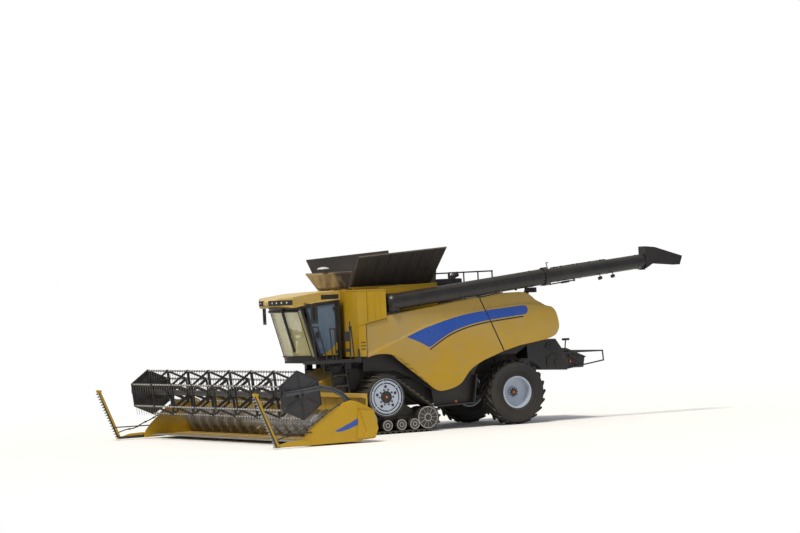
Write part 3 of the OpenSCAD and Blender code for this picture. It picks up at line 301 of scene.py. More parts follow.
def curve(points, steps=6):
    """A smooth line through points, as a list of points."""
    ends = [points[0]] + list(points) + [points[-1]]
    line = []
    for a, b, c, d in zip(ends, ends[1:], ends[2:], ends[3:]):
        a, b, c, d = (Vector(p) for p in (a, b, c, d))
        for k in range(steps):
            t = k / steps
            line.append(tuple(0.5 * (2 * b + (c - a) * t + (2 * a - 5 * b + 4 * c - d) * t * t
                                     + (3 * b - a - 3 * c + d) * t * t * t)))
    return line + [tuple(points[-1])]


def spot_on(centre, radius, angle):
    """A point in x and z on a circle, at an angle in degrees."""
    turned = math.radians(angle)
    return centre[0] + radius * math.cos(turned), centre[1] + radius * math.sin(turned)


def whole(shape):
    """Every vertex, edge and face."""
    return shape.verts[:] + shape.edges[:] + shape.faces[:]


def sheet(shape, outline, y, cuts=0.12):
    """A flat sheet in x and z at a depth y, cut into a fine grid so that it can be curved."""
    face = shape.faces.new([shape.verts.new(place(x, y, z)) for x, z in outline])
    bmesh.ops.triangulate(shape, faces=[face])
    for along in (Vector((1, 0, 0)), Vector((0, 0, 1))):
        spots = [v.co.dot(along) for v in shape.verts]
        low = min(spots)
        for k in range(1, int((max(spots) - low) / cuts) + 1):
            bmesh.ops.bisect_plane(shape, geom=whole(shape), dist=1e-4,
                                   plane_co=along * (low + k * cuts), plane_no=along)


DRIVE_HUB, ARCH_RADIUS = (0, 0.90), 1.05
SEAM_TOP, SEAM_FOOT, SEAM_GAP = (-2.78, 3.18), (-3.38, 1.84), 0.012
CREASE = curve([(0.40, 1.92), (-0.10, 2.11), (-0.68, 2.33), (-1.35, 2.57), (-2.48, 2.83), (-4.04, 2.965),
                (-5.1, 2.80)])
STEP_HEIGHT, STEP_DEPTH, CROWN_DEPTH = 0.035, 0.016, 0.014
PANEL_SKIN, PANEL_DEPTH, PANEL_MIDDLE, PANEL_HALF = 1.600, 0.012, 2.25, 0.95
HINGE_LINE = [(-0.2, 2.855), (-2.775, 3.19)]
NOTCH = (-0.2, 2.80)


def crease_height(x):
    """The height of the crease at x."""
    for (x0, z0), (x1, z1) in zip(CREASE, CREASE[1:]):
        if x1 <= x <= x0:
            return z0 + (z1 - z0) * (x - x0) / (x1 - x0)
    return CREASE[0][1] if x > CREASE[0][0] else CREASE[-1][1]


def held(value):
    """A value kept between 0 and 1."""
    return min(max(value, 0), 1)


def above_crease(x, z):
    """0 below the pressed step, 1 over it."""
    return held((z - crease_height(x)) / STEP_HEIGHT)


def pressed(x, z):
    """How far in the sheet lies from the flat: a crown, and a step above the crease."""
    above = above_crease(x, z)
    crown = CROWN_DEPTH * ((z - PANEL_MIDDLE) / PANEL_HALF) ** 2
    return STEP_DEPTH * above * above * (3 - 2 * above) + crown


def press(shape, lift=0.0):
    """Gives a flat sheet the panels' form, standing off it by lift."""
    for v in shape.verts:
        v.co.y -= pressed(v.co.x - FRONT_AXLE, v.co.z) - lift


def settle(shape):
    """Notes on each point how much dust it holds: most above the crease, less down the sheet."""
    layer = shape.verts.layers.float.new("settled")
    for v in shape.verts:
        above = above_crease(v.co.x - FRONT_AXLE, v.co.z)
        v[layer] = max(0.75 * above, 0.55 * held((v.co.z - 1.15) / 1.3))


def thicken(shape, run, faces=None):
    """Gives the open faces, or those named, a thickness along a vector."""
    grown = bmesh.ops.extrude_face_region(shape, geom=faces or shape.faces[:])["geom"]
    bmesh.ops.translate(shape, vec=run, verts=[v for v in grown if isinstance(v, bmesh.types.BMVert)])


def cut_along_crease(shape):
    """Cuts a sheet along the step's foot, middle and top, so that it bends there."""
    for (x0, z0), (x1, z1) in zip(CREASE[::3], CREASE[3::3]):
        across = Vector((z1 - z0, 0, x0 - x1)).normalized()
        for lift in (0.0, STEP_HEIGHT / 2, STEP_HEIGHT):
            near = [v for v in shape.verts if x1 - 0.01 <= v.co.x - FRONT_AXLE <= x0 + 0.01]
            faces = {f for v in near for f in v.link_faces}
            edges = {e for f in faces for e in f.edges}
            verts = {v for f in faces for v in f.verts}
            bmesh.ops.bisect_plane(shape, geom=[*faces, *edges, *verts], dist=1e-4,
                                   plane_co=place(x0, 0, z0 + lift), plane_no=across)


arch = [spot_on(DRIVE_HUB, ARCH_RADIUS, angle) for angle in range(76, 133, 7)]
belly = curve([(-1.38, 1.04), (-1.57, 0.96), (-1.88, 1.00), (-2.16, 1.12), (-2.40, 1.40), (-2.64, 1.56),
               (-2.98, 1.71), SEAM_FOOT], 4)
front_outline = [(0.38, 2.69), (0.38, 1.88)] + arch + belly + [SEAM_TOP] + HINGE_LINE[::-1] + [NOTCH]
rear_outline = (
    [(SEAM_TOP[0] - SEAM_GAP, SEAM_TOP[1]), (SEAM_FOOT[0] - SEAM_GAP, SEAM_FOOT[1] + 0.005)]
    + curve([(-3.85, 1.96), (-4.57, 2.07), (-4.86, 2.16), (-4.97, 2.30), (-4.99, 2.45), (-4.93, 2.72),
             (-4.82, 2.86), (-4.70, 2.90)], 3)
    + curve([(-4.60, 2.92), (-4.44, 2.99), (-4.32, 3.10), (-4.20, 3.20), (-4.05, 3.265), (-3.89, 3.28)], 3)
    + [(-3.45, 3.276)]
)

panel_coat = dusted("panel_enamel", YELLOW, 0.62, 0.36, low="settled")
panel_coat.set(Specular_IOR_Level=ENAMEL_SHEEN)
for side, hand in SIDES:
    for part, outline in (("front", front_outline), ("rear", rear_outline)):
        skin = bmesh.new()
        sheet(skin, outline, PANEL_SKIN)
        cut_along_crease(skin)
        settle(skin)
        press(skin)
        thicken(skin, (0, -PANEL_DEPTH, 0))
        name = "panel_%s_%s" % (part, side)
        panel = piece(name + "_skin", skin, name, panel_coat,
                      bevel=0.004, crease=50, hand=hand)
        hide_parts(name)


# The stripe: a plain blue film laid on the panels from the crease to the tail, with a thin dark
# line under it. It carries no lettering.

blue = dusted("blue_film", (0.010, 0.075, 0.40), 0.12, 0.28)
stripe_top = curve([(-0.70, 2.32), (-1.35, 2.555), (-2.48, 2.815), (-4.00, 2.945)], 8)
stripe_end = [spot_on((-4.00, 2.83), 0.115, angle) for angle in range(105, 270, 15)]
stripe_foot = curve([(-3.98, 2.715), (-2.75, 2.59), (-1.95, 2.38), (-1.32, 2.03)], 8)
stripe_nose = curve([(-1.32, 2.03), (-1.05, 2.18), (-0.70, 2.32)], 6)[1:-1]
line_low = [(x - 0.01, z - 0.062) for x, z in stripe_foot]
line_high = [(x, z - 0.030) for x, z in stripe_foot]
seam_across = Vector((SEAM_TOP[1] - SEAM_FOOT[1], 0, SEAM_FOOT[0] - SEAM_TOP[0])).normalized()
seam_cover = [(SEAM_TOP[0] + 0.010, SEAM_TOP[1] - 0.01), (SEAM_FOOT[0] + 0.010, SEAM_FOOT[1] + 0.01),
              (SEAM_FOOT[0] - 0.024, SEAM_FOOT[1] + 0.02), (SEAM_TOP[0] - 0.024, SEAM_TOP[1] - 0.01)]


def film(name, outline, side, hand, coat):
    """Lays a thin film on the two panels of one side, cut at the seam between them."""
    for part, keep_front in (("front", True), ("rear", False)):
        laid = bmesh.new()
        sheet(laid, outline, PANEL_SKIN, 0.1)
        cut_along_crease(laid)
        edge = SEAM_TOP[0] - (0 if keep_front else SEAM_GAP)
        bmesh.ops.bisect_plane(laid, geom=whole(laid), dist=1e-5, plane_co=place(edge, 0, SEAM_TOP[1]),
                               plane_no=seam_across, clear_inner=keep_front, clear_outer=not keep_front)
        press(laid, 0.0012)
        thicken(laid, (0, -0.001, 0))
        panel = "panel_%s_%s" % (part, side)
        piece("%s_%s_%s" % (name, part, side), laid, panel, coat, crease=50, hand=hand)


for side, hand in SIDES:
    film("stripe", stripe_top[:-1] + stripe_end + stripe_foot[:-1] + stripe_nose, side, hand, blue)
    film("stripe_line", line_high + line_low[::-1], side, hand, black)
    film("seam_seal", seam_cover, side, hand, plastic)


# The front block and the grain tank: folded yellow sheet, a ribbed black sheet on the tank's side
# walls as painted shade where the unloading tube passes, and a yellow lip folded round the top.

def brick(shape, low, high):
    """A block between two opposite corners."""
    low, high = place(*low), place(*high)
    size = Matrix.Diagonal((*(high - low), 1))
    bmesh.ops.create_cube(shape, size=1, matrix=Matrix.Translation((low + high) / 2) @ size)


def bar(shape, start, end, radius, sides=12, end_radius=None):
    """A round bar between two points, which may taper."""
    start, end = place(*start), place(*end)
    run = end - start
    turn = run.to_track_quat("Z", "Y").to_matrix().to_4x4()
    bmesh.ops.create_cone(
        shape, cap_ends=True, segments=sides, radius1=radius, radius2=end_radius or radius,
        depth=run.length, matrix=Matrix.Translation((start + end) / 2) @ turn)


def pin(shape, spot, y0, y1, radius, sides=12, end_radius=None):
    """A round bar straight across the machine, at a spot in x and z."""
    x, z = spot
    bar(shape, (x, y0, z), (x, y1, z), radius, sides, end_radius)


def bent(shape, points, radius, sides=10):
    """Bars end to end with a ball at each bend, as a bent tube looks."""
    for start, end in zip(points, points[1:]):
        bar(shape, start, end, radius, sides)
    for point in points[1:-1]:
        there = Matrix.Translation(place(*point))
        bmesh.ops.create_icosphere(shape, subdivisions=2, radius=radius, matrix=there)


def plate(shape, outline, y0, y1):
    """A side-view outline in x and z, made solid from y0 to y1."""
    face = shape.faces.new([shape.verts.new(place(x, y0, z)) for x, z in outline])
    thicken(shape, (0, y1 - y0, 0), [face])


def twin(shape):
    """Adds the other side's copy of everything so far."""
    copied = bmesh.ops.duplicate(shape, geom=whole(shape))["geom"]
    verts = [v for v in copied if isinstance(v, bmesh.types.BMVert)]
    bmesh.ops.scale(shape, vec=(1, -1, 1), verts=verts)
    bmesh.ops.reverse_faces(shape, faces=[f for f in copied if isinstance(f, bmesh.types.BMFace)])


paint_node(dusty_yellow, "front_body", "tank_bin")

BLOCK_FOOT = ((0.392, 2.702), (-0.18, 2.811))


def block_foot(x):
    """The height of the upper block's slanted lower edge."""
    (x0, z0), (x1, z1) = BLOCK_FOOT
    return z0 + (x - x0) * (z1 - z0) / (x1 - x0)


trim = bmesh.new()
for x in (0.31, 0.13, -0.02):
    brick(trim, (x - 0.006, 1.600, block_foot(x) + 0.03), (x + 0.006, 1.606, 3.49))
plate(trim, [(0.60, 2.664), (0.60, 2.688), (-0.18, 2.836), (-0.18, 2.812)], 1.600, 1.610)
brick(trim, (0.566, 1.600, 1.92), (0.590, 1.606, 2.66))
brick(trim, (-0.18, 1.600, 3.497), (0.60, 1.608, 3.518))
brick(trim, (0.600, 0.99, 3.497), (0.607, 1.60, 3.518))
brick(trim, (0.600, 1.28, 1.94), (0.606, 1.30, 3.49))
for z in (2.05, 2.35, 2.66, 3.0, 3.3):
    bar(trim, (0.600, 1.55, z), (0.608, 1.55, z), 0.010, 8)
twin(trim)
piece("front_block_trim", trim, "root", dusty_yellow, bevel=0.002)

seams = bmesh.new()
brick(seams, (0.334, 1.5995, 2.74), (0.342, 1.6015, 3.49))
brick(seams, (0.384, 1.5985, 1.90), (0.396, 1.6015, 2.69))
for z in (2.08, 2.16, 2.24):
    brick(seams, (0.425, 1.5995, z), (0.545, 1.6035, z + 0.022))
twin(seams)
piece("front_block_seams", seams, "root", black)

# A ribbed black sheet on each side wall of the tank: painted shade where the unloading tube passes.
tank_side_shade_sheet = bmesh.new()
brick(tank_side_shade_sheet, (-1.78, 1.2305, 3.15), (-0.19, 1.238, 3.39))
brick(tank_side_shade_sheet, (-0.186, 1.25, 2.93), (-0.181, 1.590, 3.50))
for k in range(8):
    x = -1.68 + 0.2 * k
    brick(tank_side_shade_sheet, (x, 1.237, 3.17), (x + 0.04, 1.250, 3.385))
twin(tank_side_shade_sheet)
piece("tank_side_painted_shade", tank_side_shade_sheet, "root", plastic, bevel=0.002)

seal = bmesh.new()
brick(seal, (-1.79, 0.905, 3.50), (0.39, 0.925, 3.597))
brick(seal, (0.37, -0.90, 3.50), (0.39, 0.0, 3.566))
twin(seal)
piece("cover_seal", seal, "root", dusty_yellow)

lip = bmesh.new()
plate(lip, [(-0.182, 3.530), (-0.182, 3.556), (-1.79, 3.613), (-1.79, 3.587)], 1.2435, 1.252)
for k in range(11):
    x = -0.26 - 0.145 * k
    pin(lip, (x, 3.49 - 0.035 * (x + 0.182)), 1.242, 1.250, 0.010, 8)
twin(lip)
piece("tank_lip_strip", lip, "root", yellow, bevel=0.002)


# The chassis, the closed threshing body and the running gear's steel: welded and bolted frame
# parts in dark enamel, thick with dust.

paint_node(frame_grey, "chassis_frame", "threshing_body", "front_axle", "rear_axle", "hitch", "engine",
           "knuckle_left", "knuckle_right", "track_frames")
paint_node(plastic, "skirt_plates")
paint_node(black, "engine_deck", "chopper", "track_rollers", "lift_barrels")
paint_node(dusty_yellow, "tail_hood", "feeder_house", "header_frame")

orange = dusted("orange_marker", (0.72, 0.15, 0.010), 0.12, 0.35)
skirt_marks = bmesh.new()
pin(skirt_marks, (-2.12, 0.668), 1.319, 1.332, 0.036, 20)
twin(skirt_marks)
piece("skirt_reflector", skirt_marks, "root", orange)


# The tank covers and screens: folding leaves of dark ribbed sheet, with pale worn edges, and a
# tan canvas leaf at the front that grain dust has coloured, with painted shadow darkening its left side.

leaf = Finish("ribbed_leaf")
ribs = leaf.node("TexWave", {"bands_direction": "X"}, {"Vector": leaf.spot, "Scale": 4.5})
leaf_dust = (leaf.noise(1.3, 6).rise(0.42, 0.75) * 0.16 + leaf.noise(30, 4).rise(0.5, 0.8) * 0.10).held()
leaf.set(Base_Color=leaf.mix((0.012, 0.009, 0.008), (0.16, 0.11, 0.065), leaf_dust))
leaf.set(Roughness=0.66 + leaf_dust * 0.3)
leaf.bump(ribs, 0.003)
canvas = Finish("tan_canvas")
weave = canvas.node("TexWave", {"bands_direction": "DIAGONAL"}, {"Vector": canvas.spot, "Scale": 90}) * 0.5
stain = canvas.noise(3.5, 7).rise(0.35, 0.7)
# The canvas darkens to dark brown towards +y: painted shadow of the near left cover, with real stains in
# clouds mixed in.
cover_shadow_and_stain = (canvas.axis("Y").rise(-0.1, 0.9) * 0.9 + stain * 0.5).held()
canvas.set(Base_Color=canvas.mix((0.44, 0.32, 0.14), (0.035, 0.024, 0.014), cover_shadow_and_stain), Roughness=0.9)
canvas.bump(weave + stain, 0.002)
leaf_edge = dusted("worn_leaf_edge", (0.115, 0.088, 0.068), 0.25, 0.6)
paint_node(leaf, "cover_left", "cover_right", "screen_rear")
paint_node(canvas, "screen_front")

COVER_HINGE, COVER_LEAN = (0.9, 3.61), math.radians(39)


def on_leaf(x, up, out):
    """A point on the left cover, up its slope and out of its face."""
    y = COVER_HINGE[0] + math.sin(COVER_LEAN) * up + math.cos(COVER_LEAN) * out
    return (x, y, COVER_HINGE[1] + math.cos(COVER_LEAN) * up - math.sin(COVER_LEAN) * out)


for side, hand in SIDES:
    stiffeners = bmesh.new()
    for k in range(1, 8):
        foot = on_leaf(0.39 - k * 0.2725, 0.03, 0.002)
        bar(stiffeners, foot, on_leaf(0.446 - k * 0.297, 0.905 + 0.0244 * k, 0.002), 0.010, 8)
    frame_bars = bmesh.new()
    front_tip, rear_tip = on_leaf(0.436, 0.893, -0.012), on_leaf(-1.918, 1.088, -0.012)
    bar(frame_bars, front_tip, rear_tip, 0.017, 10)
    bar(frame_bars, on_leaf(0.378, 0.02, -0.012), front_tip, 0.014, 10)
    bar(frame_bars, on_leaf(-1.78, 0.02, -0.012), rear_tip, 0.014, 10)
    piece("cover_edges_" + side, frame_bars, "cover_" + side, leaf_edge, hand=hand)
    piece("cover_ribs_" + side, stiffeners, "cover_" + side, leaf, hand=hand)


# The tracks: rubber belts with moulded lugs run round a dished drive wheel, two idlers and three
# small rollers. Road film and soil grey the rubber.

rubber = dusted("belt_rubber", (0.016, 0.016, 0.017), 0.13, 0.75, grain=70, depth=0.0015)
paint_node(rubber, "track_belts")
wheel_white = dusted("pale_wheel_enamel", (0.46, 0.53, 0.64), 0.10, 0.36)
steel = dusted("worn_steel", (0.42, 0.42, 0.43), 0.22, 0.34, metallic=0.9, grain=120)
paint_node(black, "drive_wheels")


def ring(shape, centre, y, inner, outer, depth, sides=64):
    """A flat ring round an axle, from y outwards by depth."""
    middle = place(centre[0], y, centre[1])
    turn = Matrix.Translation(middle) @ Matrix.Rotation(math.radians(-90), 4, "X")
    loop = [shape.verts.new(turn @ Vector((radius, 0, height)))
            for radius, height in ((inner, 0), (outer, 0), (outer, depth), (inner, depth))]
    edges = [shape.edges.new((loop[k], loop[(k + 1) % 4])) for k in range(4)]
    bmesh.ops.spin(shape, geom=loop + edges, cent=middle, axis=(0, 1, 0), dvec=(0, 0, 0),
                   angle=math.tau, steps=sides, use_merge=True)


def pins(shape, centre, circle, count, start, y0, y1, radius, sides):
    """A circle of short bars across the machine, the first at an angle in degrees."""
    for k in range(count):
        pin(shape, spot_on(centre, circle, start + 360 / count * k), y0, y1, radius, sides)


def spokes(shape, centre, inner, outer, count, start, y, radius, sides):
    """Bars from an inner to an outer circle, the first at an angle in degrees."""
    for k in range(count):
        angle = start + 360 / count * k
        (x0, z0), (x1, z1) = spot_on(centre, inner, angle), spot_on(centre, outer, angle)
        bar(shape, (x0, y, z0), (x1, y, z1), radius, sides)


FACE_Y = 1.745
wheel_face = bmesh.new()
ring(wheel_face, DRIVE_HUB, FACE_Y - 0.045, 0.150, 0.325, 0.035)
ring(wheel_face, DRIVE_HUB, FACE_Y - 0.045, 0.352, 0.400, 0.042)
ring(wheel_face, DRIVE_HUB, FACE_Y - 0.012, 0.436, 0.448, 0.012)
spokes(wheel_face, DRIVE_HUB, 0.31, 0.44, 6, 20, FACE_Y - 0.016, 0.013, 8)
pins(wheel_face, DRIVE_HUB, 0.419, 24, 0, FACE_Y - 0.02, FACE_Y - 0.006, 0.007, 8)
twin(wheel_face)
piece("drive_wheel_face", wheel_face, "root", wheel_white, bevel=0.003)

hub = bmesh.new()
pins(hub, DRIVE_HUB, 0.255, 5, 15, FACE_Y - 0.03, FACE_Y - 0.007, 0.038, 20)
pins(hub, DRIVE_HUB, 0.185, 10, 0, FACE_Y - 0.03, FACE_Y - 0.007, 0.025, 14)
spokes(hub, DRIVE_HUB, 0.348, 0.404, 6, 26, FACE_Y - 0.006, 0.006, 6)
ring(hub, DRIVE_HUB, FACE_Y - 0.03, 0.02, 0.142, 0.03, 40)
pins(hub, DRIVE_HUB, 0.112, 10, 0, FACE_Y - 0.002, FACE_Y + 0.012, 0.014, 6)
twin(hub)
piece("drive_wheel_hub", hub, "root", black, bevel=0.002)

frame_sides = bmesh.new()
plate(frame_sides, [(0.12, 0.62), (-0.30, 0.86), (-0.52, 0.78), (-0.86, 0.56), (-0.93, 0.36), (-0.74, 0.30),
                    (0.45, 0.30), (0.38, 0.46)], 1.40, 1.43)
twin(frame_sides)
piece("track_frame_sides", frame_sides, "root", frame_grey, bevel=0.006)

hub_caps = bmesh.new()
pin(hub_caps, DRIVE_HUB, FACE_Y - 0.02, FACE_Y + 0.02, 0.035, 20, 0.026)
twin(hub_caps)
piece("drive_wheel_cap", hub_caps, "root", orange, bevel=0.003)

RIM_Y, IDLER_RIM, IDLER_HUB = 1.738, 0.247, 0.10
wheels = bmesh.new()
for idler in ((0.55, 0.345), (-1.107, 0.345)):
    ring(wheels, idler, RIM_Y, IDLER_RIM, IDLER_RIM + 0.022, 0.008, 48)
    ring(wheels, idler, RIM_Y, IDLER_HUB - 0.025, IDLER_HUB, 0.010, 32)
    spokes(wheels, idler, IDLER_HUB, IDLER_RIM, 12, 0, RIM_Y + 0.004, 0.006, 6)
for roller in ((0.0, 0.21), (-0.38, 0.21), (-0.74, 0.21)):
    ring(wheels, roller, RIM_Y, 0.105, 0.128, 0.008, 36)
    ring(wheels, roller, RIM_Y, 0.04, 0.062, 0.010, 24)
twin(wheels)
piece("idler_and_roller_rims", wheels, "root", steel, bevel=0.002)


# The rear wheels: tall tractor tyres on pale steel rims, each with a dark hub, ten wheel nuts on
# studs and an orange cap.

tyre = dusted("tyre_rubber_coat", (0.014, 0.014, 0.016), 0.08, 0.78, grain=55, depth=0.002)
paint_node(tyre, "tyre_left", "tyre_right")
paint_node(wheel_white, "rim_left", "rim_right")
REAR_HUB, REAR_Y = (-3.77, 0.80), 1.25
HUB_Y = REAR_Y + 0.040
for side, hand in SIDES:
    hub = bmesh.new()
    ring(hub, REAR_HUB, HUB_Y - 0.01, 0.03, 0.078, 0.016, 32)
    pins(hub, REAR_HUB, 0.098, 10, 0, HUB_Y - 0.01, HUB_Y + 0.030, 0.012, 8)
    pins(hub, REAR_HUB, 0.098, 10, 0, HUB_Y - 0.01, HUB_Y + 0.014, 0.021, 6)
    cap = bmesh.new()
    pin(cap, REAR_HUB, HUB_Y - 0.006, HUB_Y + 0.03, 0.040, 24, 0.032)
    wall = bmesh.new()
    for radius, out in ((0.47, 0.285), (0.56, 0.293)):
        ring(wall, REAR_HUB, REAR_Y + out, radius, radius + 0.012, 0.007, 96)
    wheel = "wheel_" + side
    piece("wheel_hub_" + side, hub, wheel, black, bevel=0.002, hand=hand)
    piece("wheel_cap_" + side, cap, wheel, orange, bevel=0.002, hand=hand)
    piece("tyre_wall_" + side, wall, wheel, tyre, bevel=0.002, hand=hand)


# The cab: a black frame round curved glass, under a pale yellow moulded roof with a dark strip of
# work lamps in its brow, four to each side.

paint_node(black, "cab_shell", "cab_door", "platform", "ladder", "steering_column", "handrails")
paint_node(roof_yellow, "cab_roof")
paint_node(plastic, "mirrors")

front_glass = Finish("front_glass")
low_dust = (2.4 - front_glass.axis("Z")).held()
film_dust = (front_glass.noise(2.2, 6).rise(0.4, 0.8) * 0.5 + low_dust * 0.5).held()
front_glass.set(Base_Color=front_glass.mix((0.90, 0.84, 0.42), (0.80, 0.66, 0.40), film_dust))
front_glass.set(Roughness=film_dust * 0.3 + 0.04, Alpha=film_dust * 0.3 + 0.34)
side_glass = Finish("side_glass")
side_dust = side_glass.noise(1.2, 3).rise(0.35, 0.9) * 0.25
side_glass.set(Base_Color=side_glass.mix((0.13, 0.20, 0.30), (0.38, 0.38, 0.34), side_dust))
side_glass.set(Roughness=side_dust * 0.3 + 0.06, Alpha=side_dust * 0.2 + 0.72)
paint_node(front_glass, "cab_glass")
paint_node(side_glass, "door_glass")

lens_coat = Finish("lamp_lens_coat")
flutes = lens_coat.node("TexWave", {"bands_direction": "Y"}, {"Vector": lens_coat.spot, "Scale": 40})
soiled = lens_coat.mix((0.78, 0.78, 0.74), (0.50, 0.46, 0.36), lens_coat.noise(6, 5) * 0.7)
lens_coat.set(Base_Color=soiled, Roughness=0.15)
lens_coat.bump(flutes, 0.001)
paint_node(lens_coat, "work_lamps")

seat_cloth = Finish("seat_fabric")
ribbing = {"Vector": seat_cloth.spot, "Scale": 160}
thread = seat_cloth.node("TexWave", {"bands_direction": "DIAGONAL"}, ribbing)
faded_cloth = seat_cloth.mix((0.030, 0.031, 0.036), (0.09, 0.085, 0.075), seat_cloth.noise(14, 6))
seat_cloth.set(Base_Color=faded_cloth, Roughness=0.95)
seat_cloth.bump(thread, 0.001)
paint_node(seat_cloth, "cab_seat")

ROOF_ARC = 0.595, 1.70


def on_brow(y, out=0.0):
    """How far forward the roof's curved brow stands at y."""
    return ROOF_ARC[0] + math.sqrt((ROOF_ARC[1] + out) ** 2 - y * y)


BROW_STEP, BROW_PROUD = 0.072, 0.005
brow = bmesh.new()
for k in range(11):
    y0 = 0.15 + k * BROW_STEP
    y1 = y0 + BROW_STEP
    inner = [(on_brow(y0) - 0.03, y0), (on_brow(y1) - 0.03, y1)]
    outer = [(on_brow(y1, BROW_PROUD), y1), (on_brow(y0, BROW_PROUD), y0)]
    base = brow.faces.new([brow.verts.new(place(x, y, 3.235)) for x, y in inner + outer])
    thicken(brow, (0, 0, 0.125), [base])
bmesh.ops.remove_doubles(brow, verts=brow.verts, dist=1e-4)
brick(brow, (0.775, 0.949, 3.335), (1.25, 0.954, 3.445))
twin(brow)
piece("roof_brow_strip", brow, "root", plastic, bevel=0.003)

bezels = bmesh.new()
lenses = bmesh.new()
for y in (0.33, 0.49, 0.65, 0.80):
    lamp = Vector((on_brow(y, BROW_PROUD), y, 3.30))
    out = Vector((lamp.x - ROOF_ARC[0], y, 0)).normalized()
    bar(bezels, lamp - out * 0.07, lamp + out * 0.003, 0.034, 24)
    bar(lenses, lamp - out * 0.04, lamp + out * 0.006, 0.025, 24, 0.022)
twin(bezels)
twin(lenses)
piece("work_lamp_bezels", bezels, "root", black, bevel=0.002)
lamp_glass = piece("work_lamp_lenses", lenses, "root", lens_coat, bevel=0.003)
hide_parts("work_lamps")

gutter = bmesh.new()
bent(gutter, [(0.76, 0.948, 3.322), (1.43, 0.948, 3.268), (1.93, 0.948, 3.184)], 0.011, 8)
twin(gutter)
piece("roof_gutter", gutter, "root", roof_yellow)


# The cab's fittings: rubber round the windscreen, a wiper, the blind's dark housing over it, the
# door's handle and hinges, a yellow kick plate under its glass, and the mirrors' rims and glass.

SCREEN_X, SCREEN_FOOT, SCREEN_LEAN, SCREEN_RADIUS = 1.735, 1.92, math.radians(16), 1.3


def on_screen(y, z, out=0.0):
    """A point on the windscreen, which curves in plan and leans back towards its foot."""
    bow = math.sqrt(SCREEN_RADIUS ** 2 - y * y) - SCREEN_RADIUS
    return (SCREEN_X + math.tan(SCREEN_LEAN) * (z - SCREEN_FOOT) + bow + out, y, z)


fittings = bmesh.new()
for y in (-0.79, 0.79):
    bar(fittings, on_screen(y, 1.95, 0.012), on_screen(y, 3.12, 0.012), 0.012, 8)
for k in range(12):
    y0 = -0.78 + k * 0.13
    for z, r in ((1.975, 0.014), (3.085, 0.030)):
        bar(fittings, on_screen(y0, z, 0.008), on_screen(y0 + 0.13, z, 0.008), r, 8)
bar(fittings, on_screen(0.40, 3.09, 0.035), on_screen(0.38, 2.10, 0.030), 0.034, 8, 0.026)
bar(fittings, on_screen(0.34, 3.02, 0.022), on_screen(0.33, 2.06, 0.018), 0.012, 8)
bar(fittings, on_screen(0.40, 3.10, 0.0), on_screen(0.40, 3.10, 0.06), 0.045, 16)
piece("screen_frame_and_wiper", fittings, "root", plastic)

door_trim = bmesh.new()
for x, z in ((0.875, 2.05), (0.875, 3.10)):
    brick(door_trim, (x - 0.03, 0.930, z - 0.04), (x + 0.06, 0.955, z + 0.04))
brick(door_trim, (1.36, 0.930, 2.42), (1.42, 0.962, 2.56))
bar(door_trim, (1.38, 0.965, 2.44), (1.40, 0.965, 2.54), 0.010, 8)
piece("door_handle_and_hinges", door_trim, "door", plastic, bevel=0.003)

kick = bmesh.new()
plate(kick, [(0.867, 1.972), (1.30, 1.972), (1.16, 2.055), (1.02, 2.12), (0.867, 2.29)], 0.948, 0.953)
piece("door_kick_plate", kick, "door", dusty_yellow, bevel=0.002)

MIRROR_X, MIRROR_Y, MIRROR_TURN = 1.68, 1.42, math.radians(10.7)


def on_mirror(reach, z):
    """A point on the left mirror's middle plane, reach to one side of its middle."""
    return Vector((MIRROR_X - math.sin(MIRROR_TURN) * reach, MIRROR_Y + math.cos(MIRROR_TURN) * reach, z))


mirrors = bmesh.new()
for z in (2.84, 2.97, 3.10):
    bar(mirrors, (1.672, MIRROR_Y, z - 0.03), (1.672, MIRROR_Y, z + 0.03), 0.022)
for reach in (-0.132, 0.132):
    bar(mirrors, on_mirror(reach, 2.775), on_mirror(reach, 3.165), 0.010, 8)
for z in (2.772, 3.168):
    bar(mirrors, on_mirror(-0.132, z), on_mirror(0.132, z), 0.010, 8)
twin(mirrors)
piece("mirror_rims", mirrors, "root", plastic)

silver = Finish("mirror_silver")
silver.set(Base_Color=(0.72, 0.73, 0.74), Metallic=1.0, Roughness=silver.noise(20, 4) * 0.1 + 0.04)
mirror = bmesh.new()
quad = [on_mirror(reach, z) + Vector((-0.0098, 0.0018, 0))
        for reach, z in ((-0.12, 2.79), (0.12, 2.79), (0.12, 3.15), (-0.12, 3.15))]
mirror.faces.new([mirror.verts.new(place(*spot)) for spot in quad])
thicken(mirror, (-0.002, 0, 0))
twin(mirror)
piece("mirror_glass", mirror, "root", silver)


# The driver's seat: a foam cushion and back in dark ribbed cloth, crowned between sewn borders,
# on a moulded pedestal with one armrest that carries the controls.

def cushion(name, low, high, axis, channels):
    """A stuffed pad in a box: rounded at its corners, crowned along one axis, with sewn channels."""
    pad = bmesh.new()
    brick(pad, low, high)
    bmesh.ops.subdivide_edges(pad, edges=pad.edges[:], cuts=11, use_grid_fill=True)
    low, high = place(*low), place(*high)
    middle, half = (low + high) / 2, (high - low) / 2
    across = [k for k in range(3) if k != axis]
    for v in pad.verts:
        unit = Vector(((v.co[k] - middle[k]) / half[k] for k in range(3)))
        swell = (1 - unit[across[0]] ** 4) * (1 - unit[across[1]] ** 4)
        v.co[axis] = middle[axis] + half[axis] * unit[axis] * (0.66 + 0.34 * swell)
        groove = max(0.0, 1 - abs(math.sin(unit[across[0]] * math.pi * channels / 2)) * 5)
        v.co[axis] -= unit[axis] * half[axis] * 0.10 * groove * swell
        for k in across:
            beside = unit[across[0] + across[1] - k]
            pull = 1 - 0.06 * abs(unit[axis]) ** 3 - 0.02 * (1 - beside ** 2)
            v.co[k] = middle[k] + half[k] * unit[k] * pull
    made = piece(name, pad, "root", seat_cloth, crease=180)
    smooth = made.modifiers.new("smooth", "SUBSURF")
    smooth.levels = smooth.render_levels = 1
    return made


